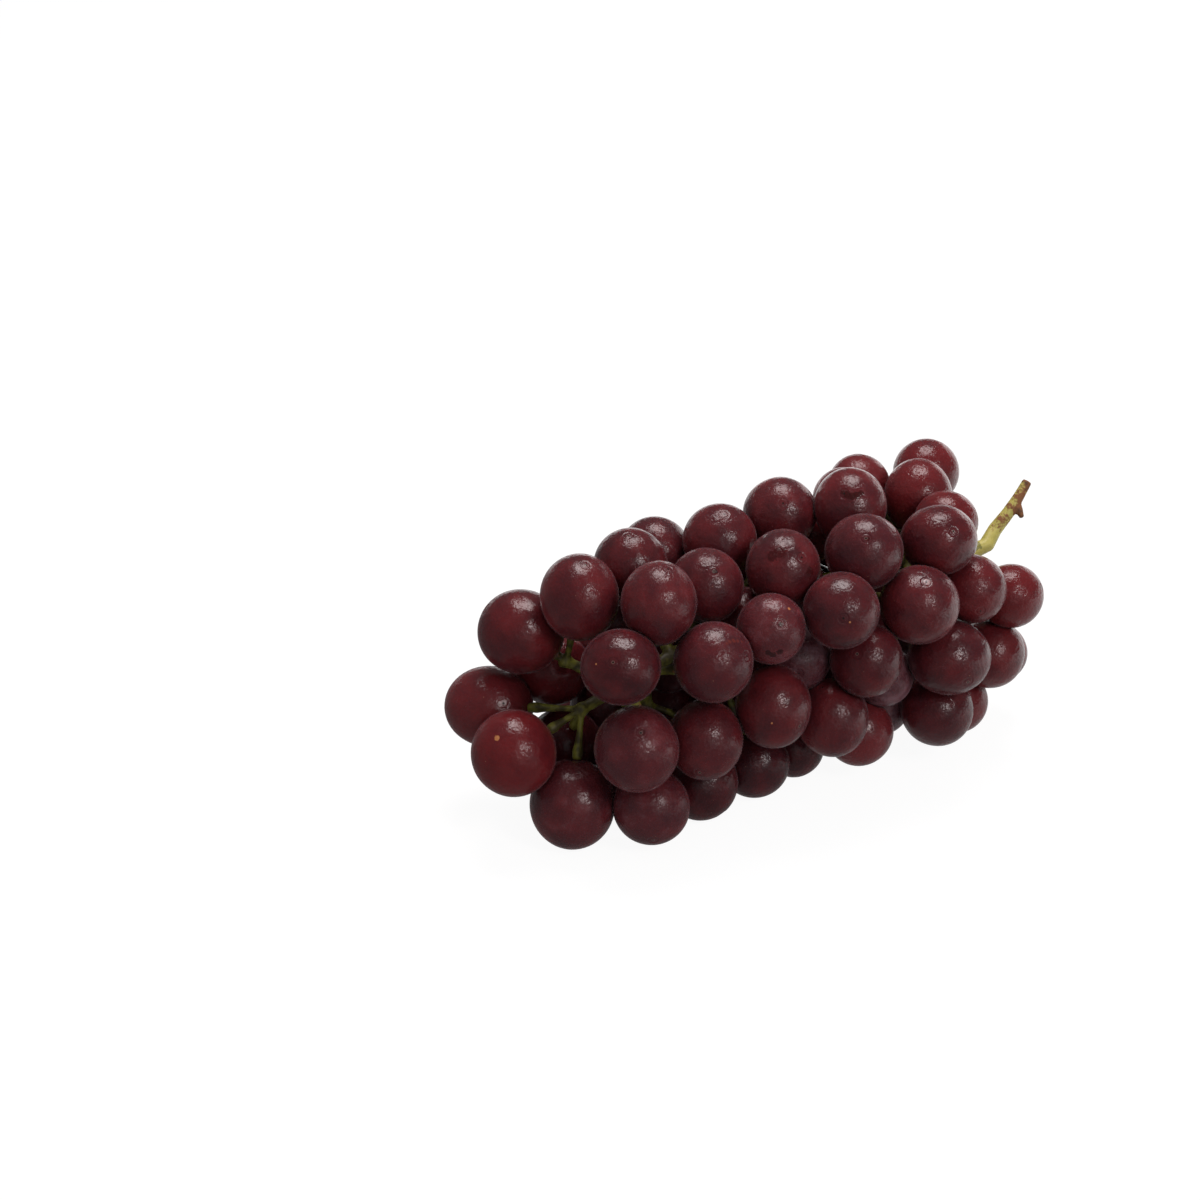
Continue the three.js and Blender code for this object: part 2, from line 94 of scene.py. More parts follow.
SEEN = {
    "A1": Outline(489, 706, 89, 80, 0.2, Tone.WARM),
    "A2": Outline(514, 752.5, 86, 88, 0, Tone.RED),
    "A3": Outline(572.5, 804, 86, 92, 0, Tone.PLUM),
    "A4": Outline(651.5, 806, 78, 77, 0, Tone.PLUM),
    "A5": Outline(636.5, 749, 85, 87, 0, Tone.PLUM),
    "A6": Outline(521, 632, 87, 86, 0.2),
    "A7": Outline(552, 668, 76, 76, 2, Tone.WARM),
    "A8": Outline(565, 745, 76, 76, 1, Tone.DARK),
    "A9": Outline(621, 667, 82, 77, 0, Tone.MAROON),
    "A10": Outline(600, 706, 60, 60, 3, Tone.DARK),
    "A11": Outline(668, 666, 56, 56, 3, Tone.DARK),
    "A12": Outline(616, 784, 56, 56, 2.2, Tone.DARK),
    "B1": Outline(579.5, 597, 79.5, 88, 0),
    "B2": Outline(658.5, 603, 77, 85, 0),
    "B3": Outline(630.5, 566, 75, 76, 0.4),
    "B4": Outline(655, 551, 72, 70, 0.8),
    "B5": Outline(620, 614, 52, 52, 2.4, Tone.DARK),
    "C1": Outline(720, 541, 75, 75, 0.4),
    "C2": Outline(706, 586, 76, 77, 0.2),
    "C3": Outline(713.5, 662, 81, 82, 0, Tone.MAROON),
    "C4": Outline(705, 739.5, 77, 82, 0.2),
    "C5": Outline(700.5, 782, 75, 76, 0.3, Tone.DARK),
    "D1": Outline(780, 513, 74.5, 73, 0.4),
    "D2": Outline(783, 568, 76, 79, 0),
    "D3": Outline(771, 629, 70, 72, 0, Tone.PLUM),
    "D4": Outline(773, 706, 76, 84, 0),
    "D5": Outline(754, 763, 70, 70, 0.3, Tone.DARK),
    "D6": Outline(797, 658, 68, 68, 1, Tone.DUSTY),
    "D7": Outline(813, 534, 56, 56, 1.5, Tone.WARM),
    "E1": Outline(850, 507, 73, 79, 0.2),
    "E2": Outline(864, 552, 80, 77, 0.1, Tone.MAROON),
    "E3": Outline(841, 611, 77, 78.5, 0, Tone.MAROON),
    "E4": Outline(866, 660, 74, 75, 0.2, Tone.MAROON),
    "E5": Outline(883, 675, 62, 62, 1, Tone.DUSTY),
    "E6": Outline(832, 717.5, 73, 80, 0),
    "E7": Outline(859, 731, 69, 69, 0.4, Tone.WARM),
    "E8": Outline(794, 747, 60, 60, 1, Tone.DARK),
    "E9": Outline(844, 499, 62, 64, 1, Tone.WARM),
    "E10": Outline(880, 705, 60, 60, 1, Tone.DUSTY),
    "E11": Outline(893, 630, 56, 56, 2.4, Tone.DARK),
    "E12": Outline(832, 672, 52, 52, 2, Tone.DARK),
    "F1": Outline(926, 472, 67, 67, 0.6, Tone.RED),
    "F2": Outline(918, 496, 68, 76, 0.2, Tone.RED),
    "F3": Outline(939, 540, 77, 71, 0),
    "F4": Outline(919, 605, 80, 79.5, 0),
    "F5": Outline(972, 589, 70, 69, 0.3, Tone.WARM),
    "F6": Outline(1010.5, 596, 65, 64, 0.6, Tone.RED),
    "F7": Outline(946, 522, 64, 64, 0.8, Tone.RED),
    "F8": Outline(858.5, 484.5, 62, 62, 0.6, Tone.RED),
    "F9": Outline(888, 518, 56, 56, 2.4, Tone.DARK),
    "F10": Outline(962, 625, 50, 50, 2.4, Tone.DARK),
    "G1": Outline(949, 657, 83, 76, 0, Tone.MAROON),
    "G2": Outline(937, 710, 73, 72, 0.1, Tone.MAROON),
    "G3": Outline(955.5, 701, 64, 64, 0.9, Tone.WARM),
    "G4": Outline(990, 653, 68, 70, 0.7, Tone.WARM),
    "G5": Outline(997, 652, 60, 60, 1.2, Tone.RED),
    "G6": Outline(910, 671, 54, 54, 2.4, Tone.DUSTY),
}
STANDING = ("A3", "C5", "E8")
RIM = (
    "A1 A6 B1 B3 B4 C1 D1 E1 F2 F7 F6 G5 G3 G2 E7 E8 D5 C5 A4 A3 A2".split()
)
OPEN_SPOT = (549.0, 707.0)

# Where a berry's blossom scar shows, in pixels.
SCARS = {
    "A1": (503, 703), "A5": (641, 733), "B3": (628, 536), "C1": (724, 514),
    "C2": (714, 571), "D1": (783, 503), "D3": (781, 624), "E2": (866, 538),
    "E4": (857, 654), "F1": (937, 440), "F3": (953, 531), "F4": (926, 582),
    "F6": (1041, 587), "F8": (858, 454), "E7": (868, 727), "E6": (822, 688),
}

# The stem in the picture: pixels and the depth along the view, in millimetres.
TIP_HUB = (582, 709, 576)
SPUR_HUB = (566, 661, 580)
NECK = (982, 549, 618)
PEDUNCLE = ((993, 532, 620), (1005, 517, 620), (1016, 501, 620), (1027.5, 481, 620))
STUB_END = (1022, 518, 619)

# The berries that the hubs in view carry.
TIP_FRUIT = ("A1", "A2", "A3")
SPUR_FRUIT = ("A6", "A7", "B1")


@dataclass(frozen=True)
class PictureView:
    """The view that the outlines were read in, on a picture 1200 px square."""

    middle: float = 600
    lens: float = 68
    sensor: float = 36
    azimuth: float = math.radians(-29)
    elevation: float = math.radians(30)
    distance: float = 620
    origin_pixel: tuple[float, float] = (752, 745)

    @property
    def right(self) -> Array:
        """The picture's rightward direction."""
        return np.array([math.cos(self.azimuth), math.sin(self.azimuth), 0.0])

    @property
    def back(self) -> Array:
        """The direction from the bunch to the camera."""
        flat = math.cos(self.elevation)
        return np.array([
            math.sin(self.azimuth) * flat,
            -math.cos(self.azimuth) * flat,
            math.sin(self.elevation),
        ])

    @property
    def up(self) -> Array:
        """The picture's upward direction."""
        return np.cross(self.back, self.right)

    @property
    def focal(self) -> float:
        """Pixels across for a unit of width at a unit of depth."""
        return self.lens / self.sensor * 2 * self.middle

    @property
    def eye(self) -> Array:
        """The camera's place."""
        u, v = self.origin_pixel
        scale = self.distance / self.focal
        aside = self.right * (self.middle - u) * scale
        return self.back * self.distance + aside + self.up * (v - self.middle) * scale

    def ray(self, u: float, v: float) -> Array:
        """The direction of a pixel's ray, one unit deep."""
        across = self.right * (u - self.middle) / self.focal
        return across + self.up * (self.middle - v) / self.focal - self.back

    def point(self, u: float, v: float, depth: float) -> Array:
        """The place that a pixel shows at a depth."""
        return self.eye + self.ray(u, v) * depth

    def picture(self, point: Array) -> tuple[float, float, float]:
        """Finds where a point shows.

        Args:
            point: A place in the bunch's frame.

        Returns:
            Its pixel and its depth along the view.
        """
        offset = point - self.eye
        depth = -float(offset @ self.back)
        u = self.middle + self.focal * float(offset @ self.right) / depth
        v = self.middle - self.focal * float(offset @ self.up) / depth
        return u, v, depth


@dataclass(frozen=True)
class BunchForm:
    """The outer form that the berries' centres lie on."""

    tip_x: float = -70
    shoulder_x: float = 62
    tip_wide: float = 28
    tip_high: float = 27
    shoulder_wide: float = 37
    shoulder_high: float = 31
    underside: float = 10
    section_power: float = 2.6
    end_power: float = 4

    def section(self, x: float | Array) -> tuple[Array, Array, Array]:
        """Half width, half height and centre height of the bunch at station x."""
        share = (x - self.tip_x) / (self.shoulder_x - self.tip_x)
        wide = self.tip_wide + (self.shoulder_wide - self.tip_wide) * share
        high = self.tip_high + (self.shoulder_high - self.tip_high) * share
        return wide, high, high + self.underside

    @property
    def middle_x(self) -> float:
        """The station half way along."""
        return (self.tip_x + self.shoulder_x) / 2

    @property
    def half_x(self) -> float:
        """Half the length along X."""
        return (self.shoulder_x - self.tip_x) / 2

    def value(self, points: Array) -> Array:
        """Below 1 inside the form and above 1 outside it, for each point."""
        wide, high, middle = self.section(points[:, 0])
        along = np.abs((points[:, 0] - self.middle_x) / self.half_x) ** self.end_power
        across = np.abs(points[:, 1] / wide) ** self.section_power
        return along + across + np.abs((points[:, 2] - middle) / high) ** self.section_power

    def surface_depth(self, view: PictureView, direction: Array) -> float:
        """Finds where a ray meets the form, or passes it closest.

        Args:
            view: The view that the ray starts from.
            direction: The ray, one unit deep.

        Returns:
            The depth along the view.
        """
        depths = np.arange(view.distance - 120, view.distance + 120, 0.5)
        values = self.value(view.eye + depths[:, None] * direction)
        inside = np.flatnonzero(values < 1)
        return float(depths[inside[0]] if len(inside) else depths[np.argmin(values)])

    def shell_point(self, size: float, share: float, angle: float) -> Array:
        """A place on a smaller copy of the form.

        Args:
            size: The copy's size as a share of the form's.
            share: The station, from 0 at the tip to 1 at the shoulder.
            angle: The direction round the section, in radians.

        Returns:
            The place in the bunch's frame.
        """
        x = self.middle_x + (share - 0.5) * 2 * self.half_x * size
        wide, high, middle = self.section(x)
        end = max(0.0, 1 - abs(2 * share - 1) ** self.end_power)
        room = end ** (1 / self.section_power) * size
        c, s = math.cos(angle), math.sin(angle)
        power = self.section_power
        reach = (abs(c) ** power + abs(s) ** power) ** (-1 / power)
        return np.array([x, wide * room * reach * c, middle + high * room * reach * s])


class StemCurve:
    """A smooth centripetal curve through points, measured by its length."""

    STEPS = 200

    def __init__(self, points: list[Array]) -> None:
        """Keeps the points, one more beyond each end, and the lengths along them.

        Args:
            points: The places that the curve goes through, from start to end.
        """
        inner = np.array(points, float)
        first = 2 * inner[0] - inner[1]
        last = 2 * inner[-1] - inner[-2]
        self.points = np.vstack([first, inner, last])
        self.spans = len(inner) - 1
        fine = np.array([self.at(t) for t in np.linspace(0, 1, self.STEPS + 1)])
        steps = np.linalg.norm(np.diff(fine, axis=0), axis=1)
        self.lengths = np.concatenate([[0.0], np.cumsum(steps)])

    def at(self, t: float) -> Array:
        """The place at a parameter.

        Args:
            t: The parameter, from 0 to 1.

        Returns:
            The place on the curve.
        """
        place = self.spans * t
        span = min(self.spans - 1, int(place))
        w = place - span
        p0, p1, p2, p3 = self.points[span:span + 4]
        d0, d1, d2 = (
            float(np.sum((b - a) ** 2)) ** 0.25 for a, b in ((p0, p1), (p1, p2), (p2, p3))
        )
        t1 = ((p1 - p0) / d0 - (p2 - p0) / (d0 + d1) + (p2 - p1) / d1) * d1
        t2 = ((p2 - p1) / d1 - (p3 - p1) / (d1 + d2) + (p3 - p2) / d2) * d1
        square = -3 * p1 + 3 * p2 - 2 * t1 - t2
        cube = 2 * p1 - 2 * p2 + t1 + t2
        return p1 + t1 * w + square * w * w + cube * w * w * w

    def parameter(self, share: float) -> float:
        """The parameter at a share of the whole length."""
        target = share * self.lengths[-1]
        return float(np.interp(target, self.lengths, np.linspace(0, 1, self.STEPS + 1)))

    def point(self, share: float) -> Array:
        """The place at a share of the whole length."""
        return self.at(self.parameter(share))

    def tangent(self, share: float) -> Array:
        """The direction of travel at a share of the whole length."""
        t = self.parameter(share)
        step = self.at(min(1.0, t + 1e-4)) - self.at(max(0.0, t - 1e-4))
        return step / np.linalg.norm(step)


@dataclass
class Berry:
    """One berry: its place and size, and how it is grown on."""

    name: str
    centre: Array
    radius: float
    seen: bool
    axis: Array = field(default_factory=lambda: np.array([0.0, 0.0, 1.0]))
    hub: int = 0


@dataclass
class Hub:
    """A place on the stem where pedicels branch off."""

    point: Array
    root: Array | None
    fruit: int = 0


@dataclass
class BunchLayout:
    """Finds the places of all berries and hubs, by the rule of the construction."""

    view: PictureView = field(default_factory=PictureView)
    form: BunchForm = field(default_factory=BunchForm)
    hidden_radius: float = 9.6
    hidden_radius_spread: float = 0.7
    length_share: float = 1.05
    girth_share: float = 0.975
    sink: float = 0.5
    press: float = 0.955
    layer_depth: float = 14
    closest_start: float = 0.74
    settling_height: float = 19
    nearer_allowed: float = 4
    open_margin: float = 4
    neighbour_pull: tuple[float, float, float] = (0.3, 0.2, 0.1)
    neighbour_press: float = 0.025
    seen_sweeps: int = 260
    hidden_sweeps: int = 160
    parting: float = 0.3
    sinking: float = 0.2
    drawing_in: float = 0.12
    clearing: float = 0.5
    gap: float = 0.35
    axis_clearance: float = 5
    hub_count: int = 15
    hub_start: float = 0.6
    hub_reach: float = 11
    hub_setback: float = 3
    hub_crowding: float = 0.8
    spur_share: float = 0.1
    knob_radius: float = 1.9
    lateral_radius: float = 1.35
    lateral_root_radius: float = 1.7
    pedicel_radius: float = 0.95
    cap_length: float = 2.2
    cut_radius: float = 1.35
    shells: tuple[tuple[float, int], ...] = ((1, 260), (0.72, 130), (0.45, 70))
    berries: list[Berry] = field(default_factory=list)
    hubs: list[Hub] = field(default_factory=list)

    def __post_init__(self) -> None:
        """Runs the whole rule once."""
        self.axis_points = [
            self.view.point(*TIP_HUB),
            np.array([-20.0, 0.0, 38.0]),
            np.array([20.0, 2.0, 44.0]),
            np.array([50.0, -2.0, 47.0]),
            self.view.point(*NECK),
        ]
        seen = self._seen_berries()
        self.berries = self._with_hidden(seen)
        self.hubs = self._make_hubs()
        self._aim_berries()

    def _seen_berries(self) -> list[Berry]:
        """Slides each berry in view along its ray until it only presses on others."""
        view = self.view
        eye, back = view.eye, view.back
        names = list(SEEN)
        rays = np.array([view.ray(SEEN[n].u, SEEN[n].v) for n in names])
        slope = np.array([(SEEN[n].width + SEEN[n].height) / 4 / view.focal for n in names])
        floor = (eye[2] + self.sink) / (slope - rays[:, 2])
        held = np.array([n in STANDING for n in names])
        lying = np.array([
            self.form.surface_depth(view, ray) + self.layer_depth * SEEN[name].layer
            for name, ray in zip(names, rays)
        ])
        start = np.where(held, floor, np.minimum(lying, floor))
        depth = start.copy()
        for _ in range(self.seen_sweeps):
            centres = eye + depth[:, None] * rays
            offset = centres[:, None] - centres[None]
            deeper = -(offset @ back)
            aside = (offset ** 2).sum(2) - deeper ** 2
            size = slope * depth
            reach = (size[:, None] + size[None]) * self.press
            gap = np.sqrt(np.maximum(0, reach ** 2 - aside)) - np.abs(deeper)
            np.fill_diagonal(gap, -1.0)
            order = depth[:, None] - depth[None] + 1e-6 * (start[:, None] - start[None])
            side = np.where(order > 0, 1.0, -1.0)
            shift = (np.maximum(gap, 0) * side * np.where(held, 2, 1)[None]).sum(1)
            moved = depth + 0.25 * shift + 0.015 * (start - depth)
            depth = np.where(held, depth, np.minimum(floor, moved))
        return [
            Berry(name, eye + depth[i] * rays[i], float(slope[i] * depth[i]), True)
            for i, name in enumerate(names)
        ]

    def nearest_on_axis(self, points: Array) -> tuple[Array, Array]:
        """Finds the nearest places on the main stem.

        Args:
            points: Places in the bunch's frame.

        Returns:
            The nearest places and the distances to them.
        """
        best = np.full(len(points), np.inf)
        near = np.zeros_like(points)
        for a, b in zip(self.axis_points, self.axis_points[1:]):
            span = b - a
            share = np.clip((points - a) @ span / (span @ span), 0, 1)
            spot = a + share[:, None] * span
            distance = np.linalg.norm(spot - points, axis=1)
            closer = distance < best
            best = np.where(closer, distance, best)
            near[closer] = spot[closer]
        return near, best

    @staticmethod
    def _inside_rim(u: float, v: float) -> bool:
        """Says whether a place in the photo lies inside the ring of outer berries.

        Args:
            u: The place across the photo, in its pixels.
            v: The place down the photo.

        Returns:
            True inside the ring.
        """
        inside = False
        for name, after in zip(RIM, RIM[1:] + RIM[:1]):
            a, b = SEEN[name], SEEN[after]
            crossing = (a.v > v) != (b.v > v)
            if crossing and u < a.u + (v - a.v) / (b.v - a.v) * (b.u - a.u):
                inside = not inside
        return inside

    def _covered(self, centre: Array, radius: float, seen: list[Berry]) -> bool:
        """Says whether a ball stays out of sight behind or between the seen berries.

        Args:
            centre: The ball's centre.
            radius: The ball's radius.
            seen: The berries in view.

        Returns:
            True where the ball stays out of sight.
        """
        u, v, depth = self.view.picture(centre)
        reach = radius / depth * self.view.focal
        for k in range(12):
            edge_u = u + reach * math.cos(k * math.pi / 6) * 0.98
            edge_v = v + reach * math.sin(k * math.pi / 6) * 0.98
            over = [
                berry for berry in seen
                if (2 * (edge_u - SEEN[berry.name].u) / SEEN[berry.name].width) ** 2
                + (2 * (edge_v - SEEN[berry.name].v) / SEEN[berry.name].height) ** 2 < 1
            ]
            if over:
                depths = [self.view.picture(berry.centre)[2] for berry in over]
                if not all(front < depth + self.nearer_allowed for front in depths):
                    return False
            elif not self._inside_rim(edge_u, edge_v):
                return False
        away = math.hypot(OPEN_SPOT[0] - u, OPEN_SPOT[1] - v)
        return away > reach + self.open_margin

    def _start_hidden(self, seen: list[Berry]) -> list[Berry]:
        """Sets the berries out of view at their first places on the shells.

        Args:
            seen: The berries in view.

        Returns:
            The berries in view and then the new ones.
        """
        placed = list(seen)
        for size, count in self.shells:
            for i in range(count):
                centre = self.form.shell_point(size, (i + 0.5) / count, i * GOLDEN_ANGLE)
                radius = self.hidden_radius + self.hidden_radius_spread * math.sin(i * 2.1)
                centre[2] = max(centre[2], radius - self.sink)
                clear = self.nearest_on_axis(centre[None])[1][0] > radius + self.axis_clearance
                clear = clear and all(
                    np.linalg.norm(other.centre - centre)
                    > self.closest_start * (other.radius + radius)
                    for other in placed
                )
                if clear and self._covered(centre, radius, seen):
                    placed.append(Berry(f"H{len(placed)}", centre, radius, False))
        return placed

    def _with_hidden(self, seen: list[Berry]) -> list[Berry]:
        """Adds the berries out of view and lets them settle among the others.

        Args:
            seen: The berries in view, which stay where they are.

        Returns:
            The berries in view and the new ones that stay out of sight.
        """
        placed = self._start_hidden(seen)
        centres = np.array([berry.centre for berry in placed])
        radii = np.array([berry.radius for berry in placed])
        free = np.array([not berry.seen for berry in placed])
        reach = (radii[:, None] + radii[None]) * self.press
        pulls = np.zeros(len(placed))
        pulls[:3] = self.neighbour_pull
        for _ in range(self.hidden_sweeps):
            offset = centres[:, None] - centres[None]
            distance = np.linalg.norm(offset, axis=2)
            np.fill_diagonal(distance, 1e9)
            gap = reach - distance
            rank = np.argsort(np.argsort(-gap, axis=1, kind="stable"), axis=1)
            pull = pulls[rank] * (gap - self.neighbour_press * reach)
            weight = np.where(gap > 0, self.parting * gap, pull) / distance
            push = (offset * weight[:, :, None]).sum(1)
            near, away = self.nearest_on_axis(centres)
            inward = (near - centres) / away[:, None]
            room = away - radii - self.axis_clearance
            low = centres[:, 2] < self.settling_height
            push[low, 2] -= self.sinking
            push += inward * np.where(~low & (room > 0), self.drawing_in, 0.0)[:, None]
            push += inward * np.where(room < 0, self.clearing * room, 0.0)[:, None]
            centres[free] += push[free]
            lowest = radii - self.sink
            centres[free, 2] = np.maximum(centres[free, 2], lowest[free])
        for berry, centre in zip(placed, centres):
            berry.centre = centre
        return [
            berry for berry in placed
            if berry.seen or self._covered(berry.centre, berry.radius, seen)
        ]

    def push_clear(self, point: Array, radius: float, strength: float) -> Array:
        """Moves a point of a limb out of the berries that it would run through.

        Args:
            point: The point.
            radius: The limb's radius there.
            strength: The share of each overlap that one call takes away.

        Returns:
            The moved point.
        """
        point = point.copy()
        for berry in self.berries:
            offset = point - berry.centre
            distance = float(np.linalg.norm(offset))
            gap = berry.radius * self.length_share + radius + self.gap - distance
            if gap > 0:
                point += offset * (strength * gap / distance)
        return point

    def _make_hubs(self) -> list[Hub]:
        """Sets hubs round the main stem and gives each berry to one of them."""
        path = StemCurve(self.axis_points)
        spur_root = path.point(self.spur_share)
        hubs = [
            Hub(self.axis_points[0].copy(), None),
            Hub(self.view.point(*SPUR_HUB), spur_root),
        ]
        for i in range(1, self.hub_count):
            share = (i + self.hub_start) / self.hub_count
            root = path.point(share)
            tangent = path.tangent(share)
            turn = Matrix.Rotation(i * GOLDEN_ANGLE, 3, Vector(tangent))
            side = np.array(turn @ Vector((0, 1, 0)))
            point = root + side * self.hub_reach - tangent * self.hub_setback
            for _ in range(40):
                point = self.push_clear(point, self.knob_radius, 0.3)
            hubs.append(Hub(point, root))
        for berry in self.berries:
            costs = [
                np.linalg.norm(hub.point - berry.centre) + self.hub_crowding * hub.fruit
                for hub in hubs
            ]
            berry.hub = int(np.argmin(costs))
            if berry.name in TIP_FRUIT:
                berry.hub = 0
            if berry.name in SPUR_FRUIT:
                berry.hub = 1
            hubs[berry.hub].fruit += 1
        return hubs

    def _aim_berries(self) -> None:
        """Points each berry's long axis along its pedicel."""
        for berry in self.berries:
            straight = self.hubs[berry.hub].point - berry.centre
            straight /= np.linalg.norm(straight)
            outside = berry.centre + straight * (berry.radius * self.length_share + 2)
            outside = self.push_clear(outside, self.pedicel_radius, 0.4)
            axis = outside - berry.centre
            berry.axis = axis / np.linalg.norm(axis)

    def route(self, start: Array, end: Array, radius: float) -> list[Array]:
        """Finds a limb's way between two points, bent clear of the berries.

        Args:
            start: The first point.
            end: The last point.
            radius: The limb's radius.

        Returns:
            Four points along the way.
        """
        points = [start + (end - start) * k / 3 for k in range(4)]
        for _ in range(60):
            for k in (1, 2):
                middle = (points[k - 1] + points[k + 1]) / 2
                points[k] = points[k] + (middle - points[k]) * 0.2
                points[k] = self.push_clear(points[k], radius, 0.5)
        return points

    @property
    def origin(self) -> Array:
        """The middle of the bunch's box, on the table."""
        centres = np.array([berry.centre for berry in self.berries])
        radii = np.array([[berry.radius] for berry in self.berries])
        end = self.view.point(*PEDUNCLE[-1])
        end[0] += self.cut_radius
        low = np.minimum((centres - radii).min(0), end)
        high = np.maximum((centres + radii).max(0), end)
        middle = (low + high) / 2
        middle[2] = 0
        return middle


class MarkKind(Enum):
    """A blemish, or a painted highlight (GLINT): its colour, and how much duller it makes the
    skin.
    """

    TAN_SPOT = ((0.5, 0.2, 0.07), 0.5)
    DARK_SPOT = ((0.012, 0.003, 0.004), 0.4)
    RUBBED_RED = ((0.045, 0.003, 0.004), -0.6)
    SCRATCH = ((0.13, 0.022, 0.018), -0.2)
    CRATER = ((0.035, 0.003, 0.003), -0.5)
    BRUISE = ((0.026, 0.003, 0.004), -0.3)
    # GLINT is a painted highlight: a pale spot where light glints on the skin.
    GLINT = ((0.38, 0.27, 0.27), -0.6)


@dataclass(frozen=True)
class Mark:
    """A blemish or a painted highlight on a berry in view: where it shows, and its radius in
    millimetres.
    """

    berry: str
    u: float
    v: float
    radius: float
    kind: MarkKind


# The GLINT marks on A1, E7 and F4 are painted highlights.
MARKS = (
    Mark("A1", 500, 704, 0.7, MarkKind.GLINT),
    Mark("A1", 505, 702, 0.8, MarkKind.GLINT),
    Mark("A2", 497, 738, 0.8, MarkKind.TAN_SPOT),
    Mark("A9", 596, 664, 0.3, MarkKind.TAN_SPOT),
    Mark("A5", 642, 732, 1.0, MarkKind.RUBBED_RED),
    Mark("C2", 715, 571, 0.7, MarkKind.DARK_SPOT),
    Mark("C3", 727, 643, 0.45, MarkKind.SCRATCH),
    Mark("C3", 730, 641.5, 0.55, MarkKind.SCRATCH),
    Mark("C3", 734, 640.5, 0.6, MarkKind.SCRATCH),
    Mark("C3", 738, 640.5, 0.55, MarkKind.SCRATCH),
    Mark("C3", 742, 641.5, 0.45, MarkKind.SCRATCH),
    Mark("D2", 772, 556, 1.6, MarkKind.RUBBED_RED),
    Mark("D2", 780, 552, 1.8, MarkKind.RUBBED_RED),
    Mark("D2", 810, 573, 1.6, MarkKind.RUBBED_RED),
    Mark("D3", 789, 609, 0.4, MarkKind.TAN_SPOT),
    Mark("D3", 781, 624, 0.7, MarkKind.CRATER),
    Mark("D3", 768, 653, 0.9, MarkKind.BRUISE),
    Mark("D3", 773, 655, 1.0, MarkKind.BRUISE),
    Mark("D3", 780, 652, 0.9, MarkKind.BRUISE),
    Mark("D4", 772, 723, 0.3, MarkKind.TAN_SPOT),
    Mark("E1", 842.5, 492, 0.8, MarkKind.CRATER),
    Mark("E1", 847, 494.5, 1.1, MarkKind.CRATER),
    Mark("E1", 852, 496, 1.2, MarkKind.CRATER),
    Mark("E1", 857, 495, 1.1, MarkKind.CRATER),
    Mark("E1", 861.5, 492.5, 0.8, MarkKind.CRATER),
    Mark("E2", 868, 539, 0.6, MarkKind.RUBBED_RED),
    Mark("E3", 850, 622, 0.3, MarkKind.TAN_SPOT),
    Mark("E7", 868, 727, 0.9, MarkKind.GLINT),
    Mark("F1", 937, 440, 0.5, MarkKind.DARK_SPOT),
    Mark("F6", 1041, 587, 0.6, MarkKind.DARK_SPOT),
    Mark("F4", 927, 582, 1.0, MarkKind.GLINT),
)


class NodeSheet:
    """Adds nodes to one tree and links them as they are added."""

    def __init__(self, tree: bpy.types.NodeTree) -> None:
        """Keeps the tree."""
        self.tree = tree

    def add(self, kind: str, inputs: dict, output: int | str = 0, **settings) -> object:
        """Adds a node and feeds its inputs.

        Args:
            kind: The node's type.
            inputs: A socket to link or a value, for each input's name or number.
            output: The name or number of the output that is wanted.
            settings: Properties of the node.

        Returns:
            The output socket.
        """
        node = self.tree.nodes.new(kind)
        for name, value in settings.items():
            setattr(node, name, value)
        self._feed(node, inputs)
        return node.outputs[output]

    def group(self, tree: bpy.types.NodeTree, inputs: dict, output: str) -> object:
        """Places a node group and feeds its inputs.

        Args:
            tree: The group.
            inputs: A socket to link or a value, for each input's name.
            output: The name of the output that is wanted.

        Returns:
            The output socket.
        """
        node = self.tree.nodes.new("ShaderNodeGroup")
        node.node_tree = tree
        self._feed(node, inputs)
        return node.outputs[output]

    def _feed(self, node: bpy.types.Node, inputs: dict) -> None:
        """Links or sets a node's inputs.

        Args:
            node: The node.
            inputs: A socket to link or a value, for each input's name or number.
        """
        for key, value in inputs.items():
            if isinstance(value, bpy.types.NodeSocket):
                self.tree.links.new(value, node.inputs[key])
            else:
                node.inputs[key].default_value = value

    def math(self, operation: str, a: object, b: object = 0.0, c: object = 0.0) -> object:
        """Adds a Math node on two or three values."""
        return self.add("ShaderNodeMath", {0: a, 1: b, 2: c}, operation=operation)

    def mix(self, factor: object, a: object, b: object) -> object:
        """Adds a node that mixes two colours."""
        inputs = {0: factor, 6: a, 7: b}
        return self.add("ShaderNodeMix", inputs, 2, data_type="RGBA")

    def blend(self, factor: object, a: object, b: object) -> object:
        """Adds a node that mixes two values."""
        return self.add("ShaderNodeMix", {0: factor, 2: a, 3: b}, 0, data_type="FLOAT")

    def step(self, value: object, low: float, high: float) -> object:
        """Adds a smooth step from 0 at low to 1 at high."""
        inputs = {"Value": value, "From Min": low, "From Max": high}
        return self.add("ShaderNodeMapRange", inputs, interpolation_type="SMOOTHSTEP")

    def noise(self, place: object, scale: float, detail: float = 2.0) -> object:
        """Adds a noise pattern around 0.5 and returns its value."""
        inputs = {"Vector": place, "Scale": scale, "Detail": detail}
        return self.add("ShaderNodeTexNoise", inputs, "Fac")


def new_group(name: str, inputs: dict[str, str], outputs: list[str]) -> NodeSheet:
    """Starts a node group.

    Args:
        name: The group's name.
        inputs: The socket type of each named input.
        outputs: The names of the value outputs.

    Returns:
        A sheet on the group's tree.
    """
    tree = bpy.data.node_groups.new(name, "ShaderNodeTree")
    for label, kind in inputs.items():
        tree.interface.new_socket(label, in_out="INPUT", socket_type=kind)
    for label in outputs:
        tree.interface.new_socket(label, in_out="OUTPUT", socket_type="NodeSocketFloat")
    tree.nodes.new("NodeGroupInput")
    tree.nodes.new("NodeGroupOutput")
    return NodeSheet(tree)


def group_ends(sheet: NodeSheet) -> tuple[object, object]:
    """The outputs of a group's input node and the inputs of its output node."""
    nodes = sheet.tree.nodes
    return nodes["Group Input"].outputs, nodes["Group Output"].inputs


VECTOR = "NodeSocketVector"
FLOAT = "NodeSocketFloat"


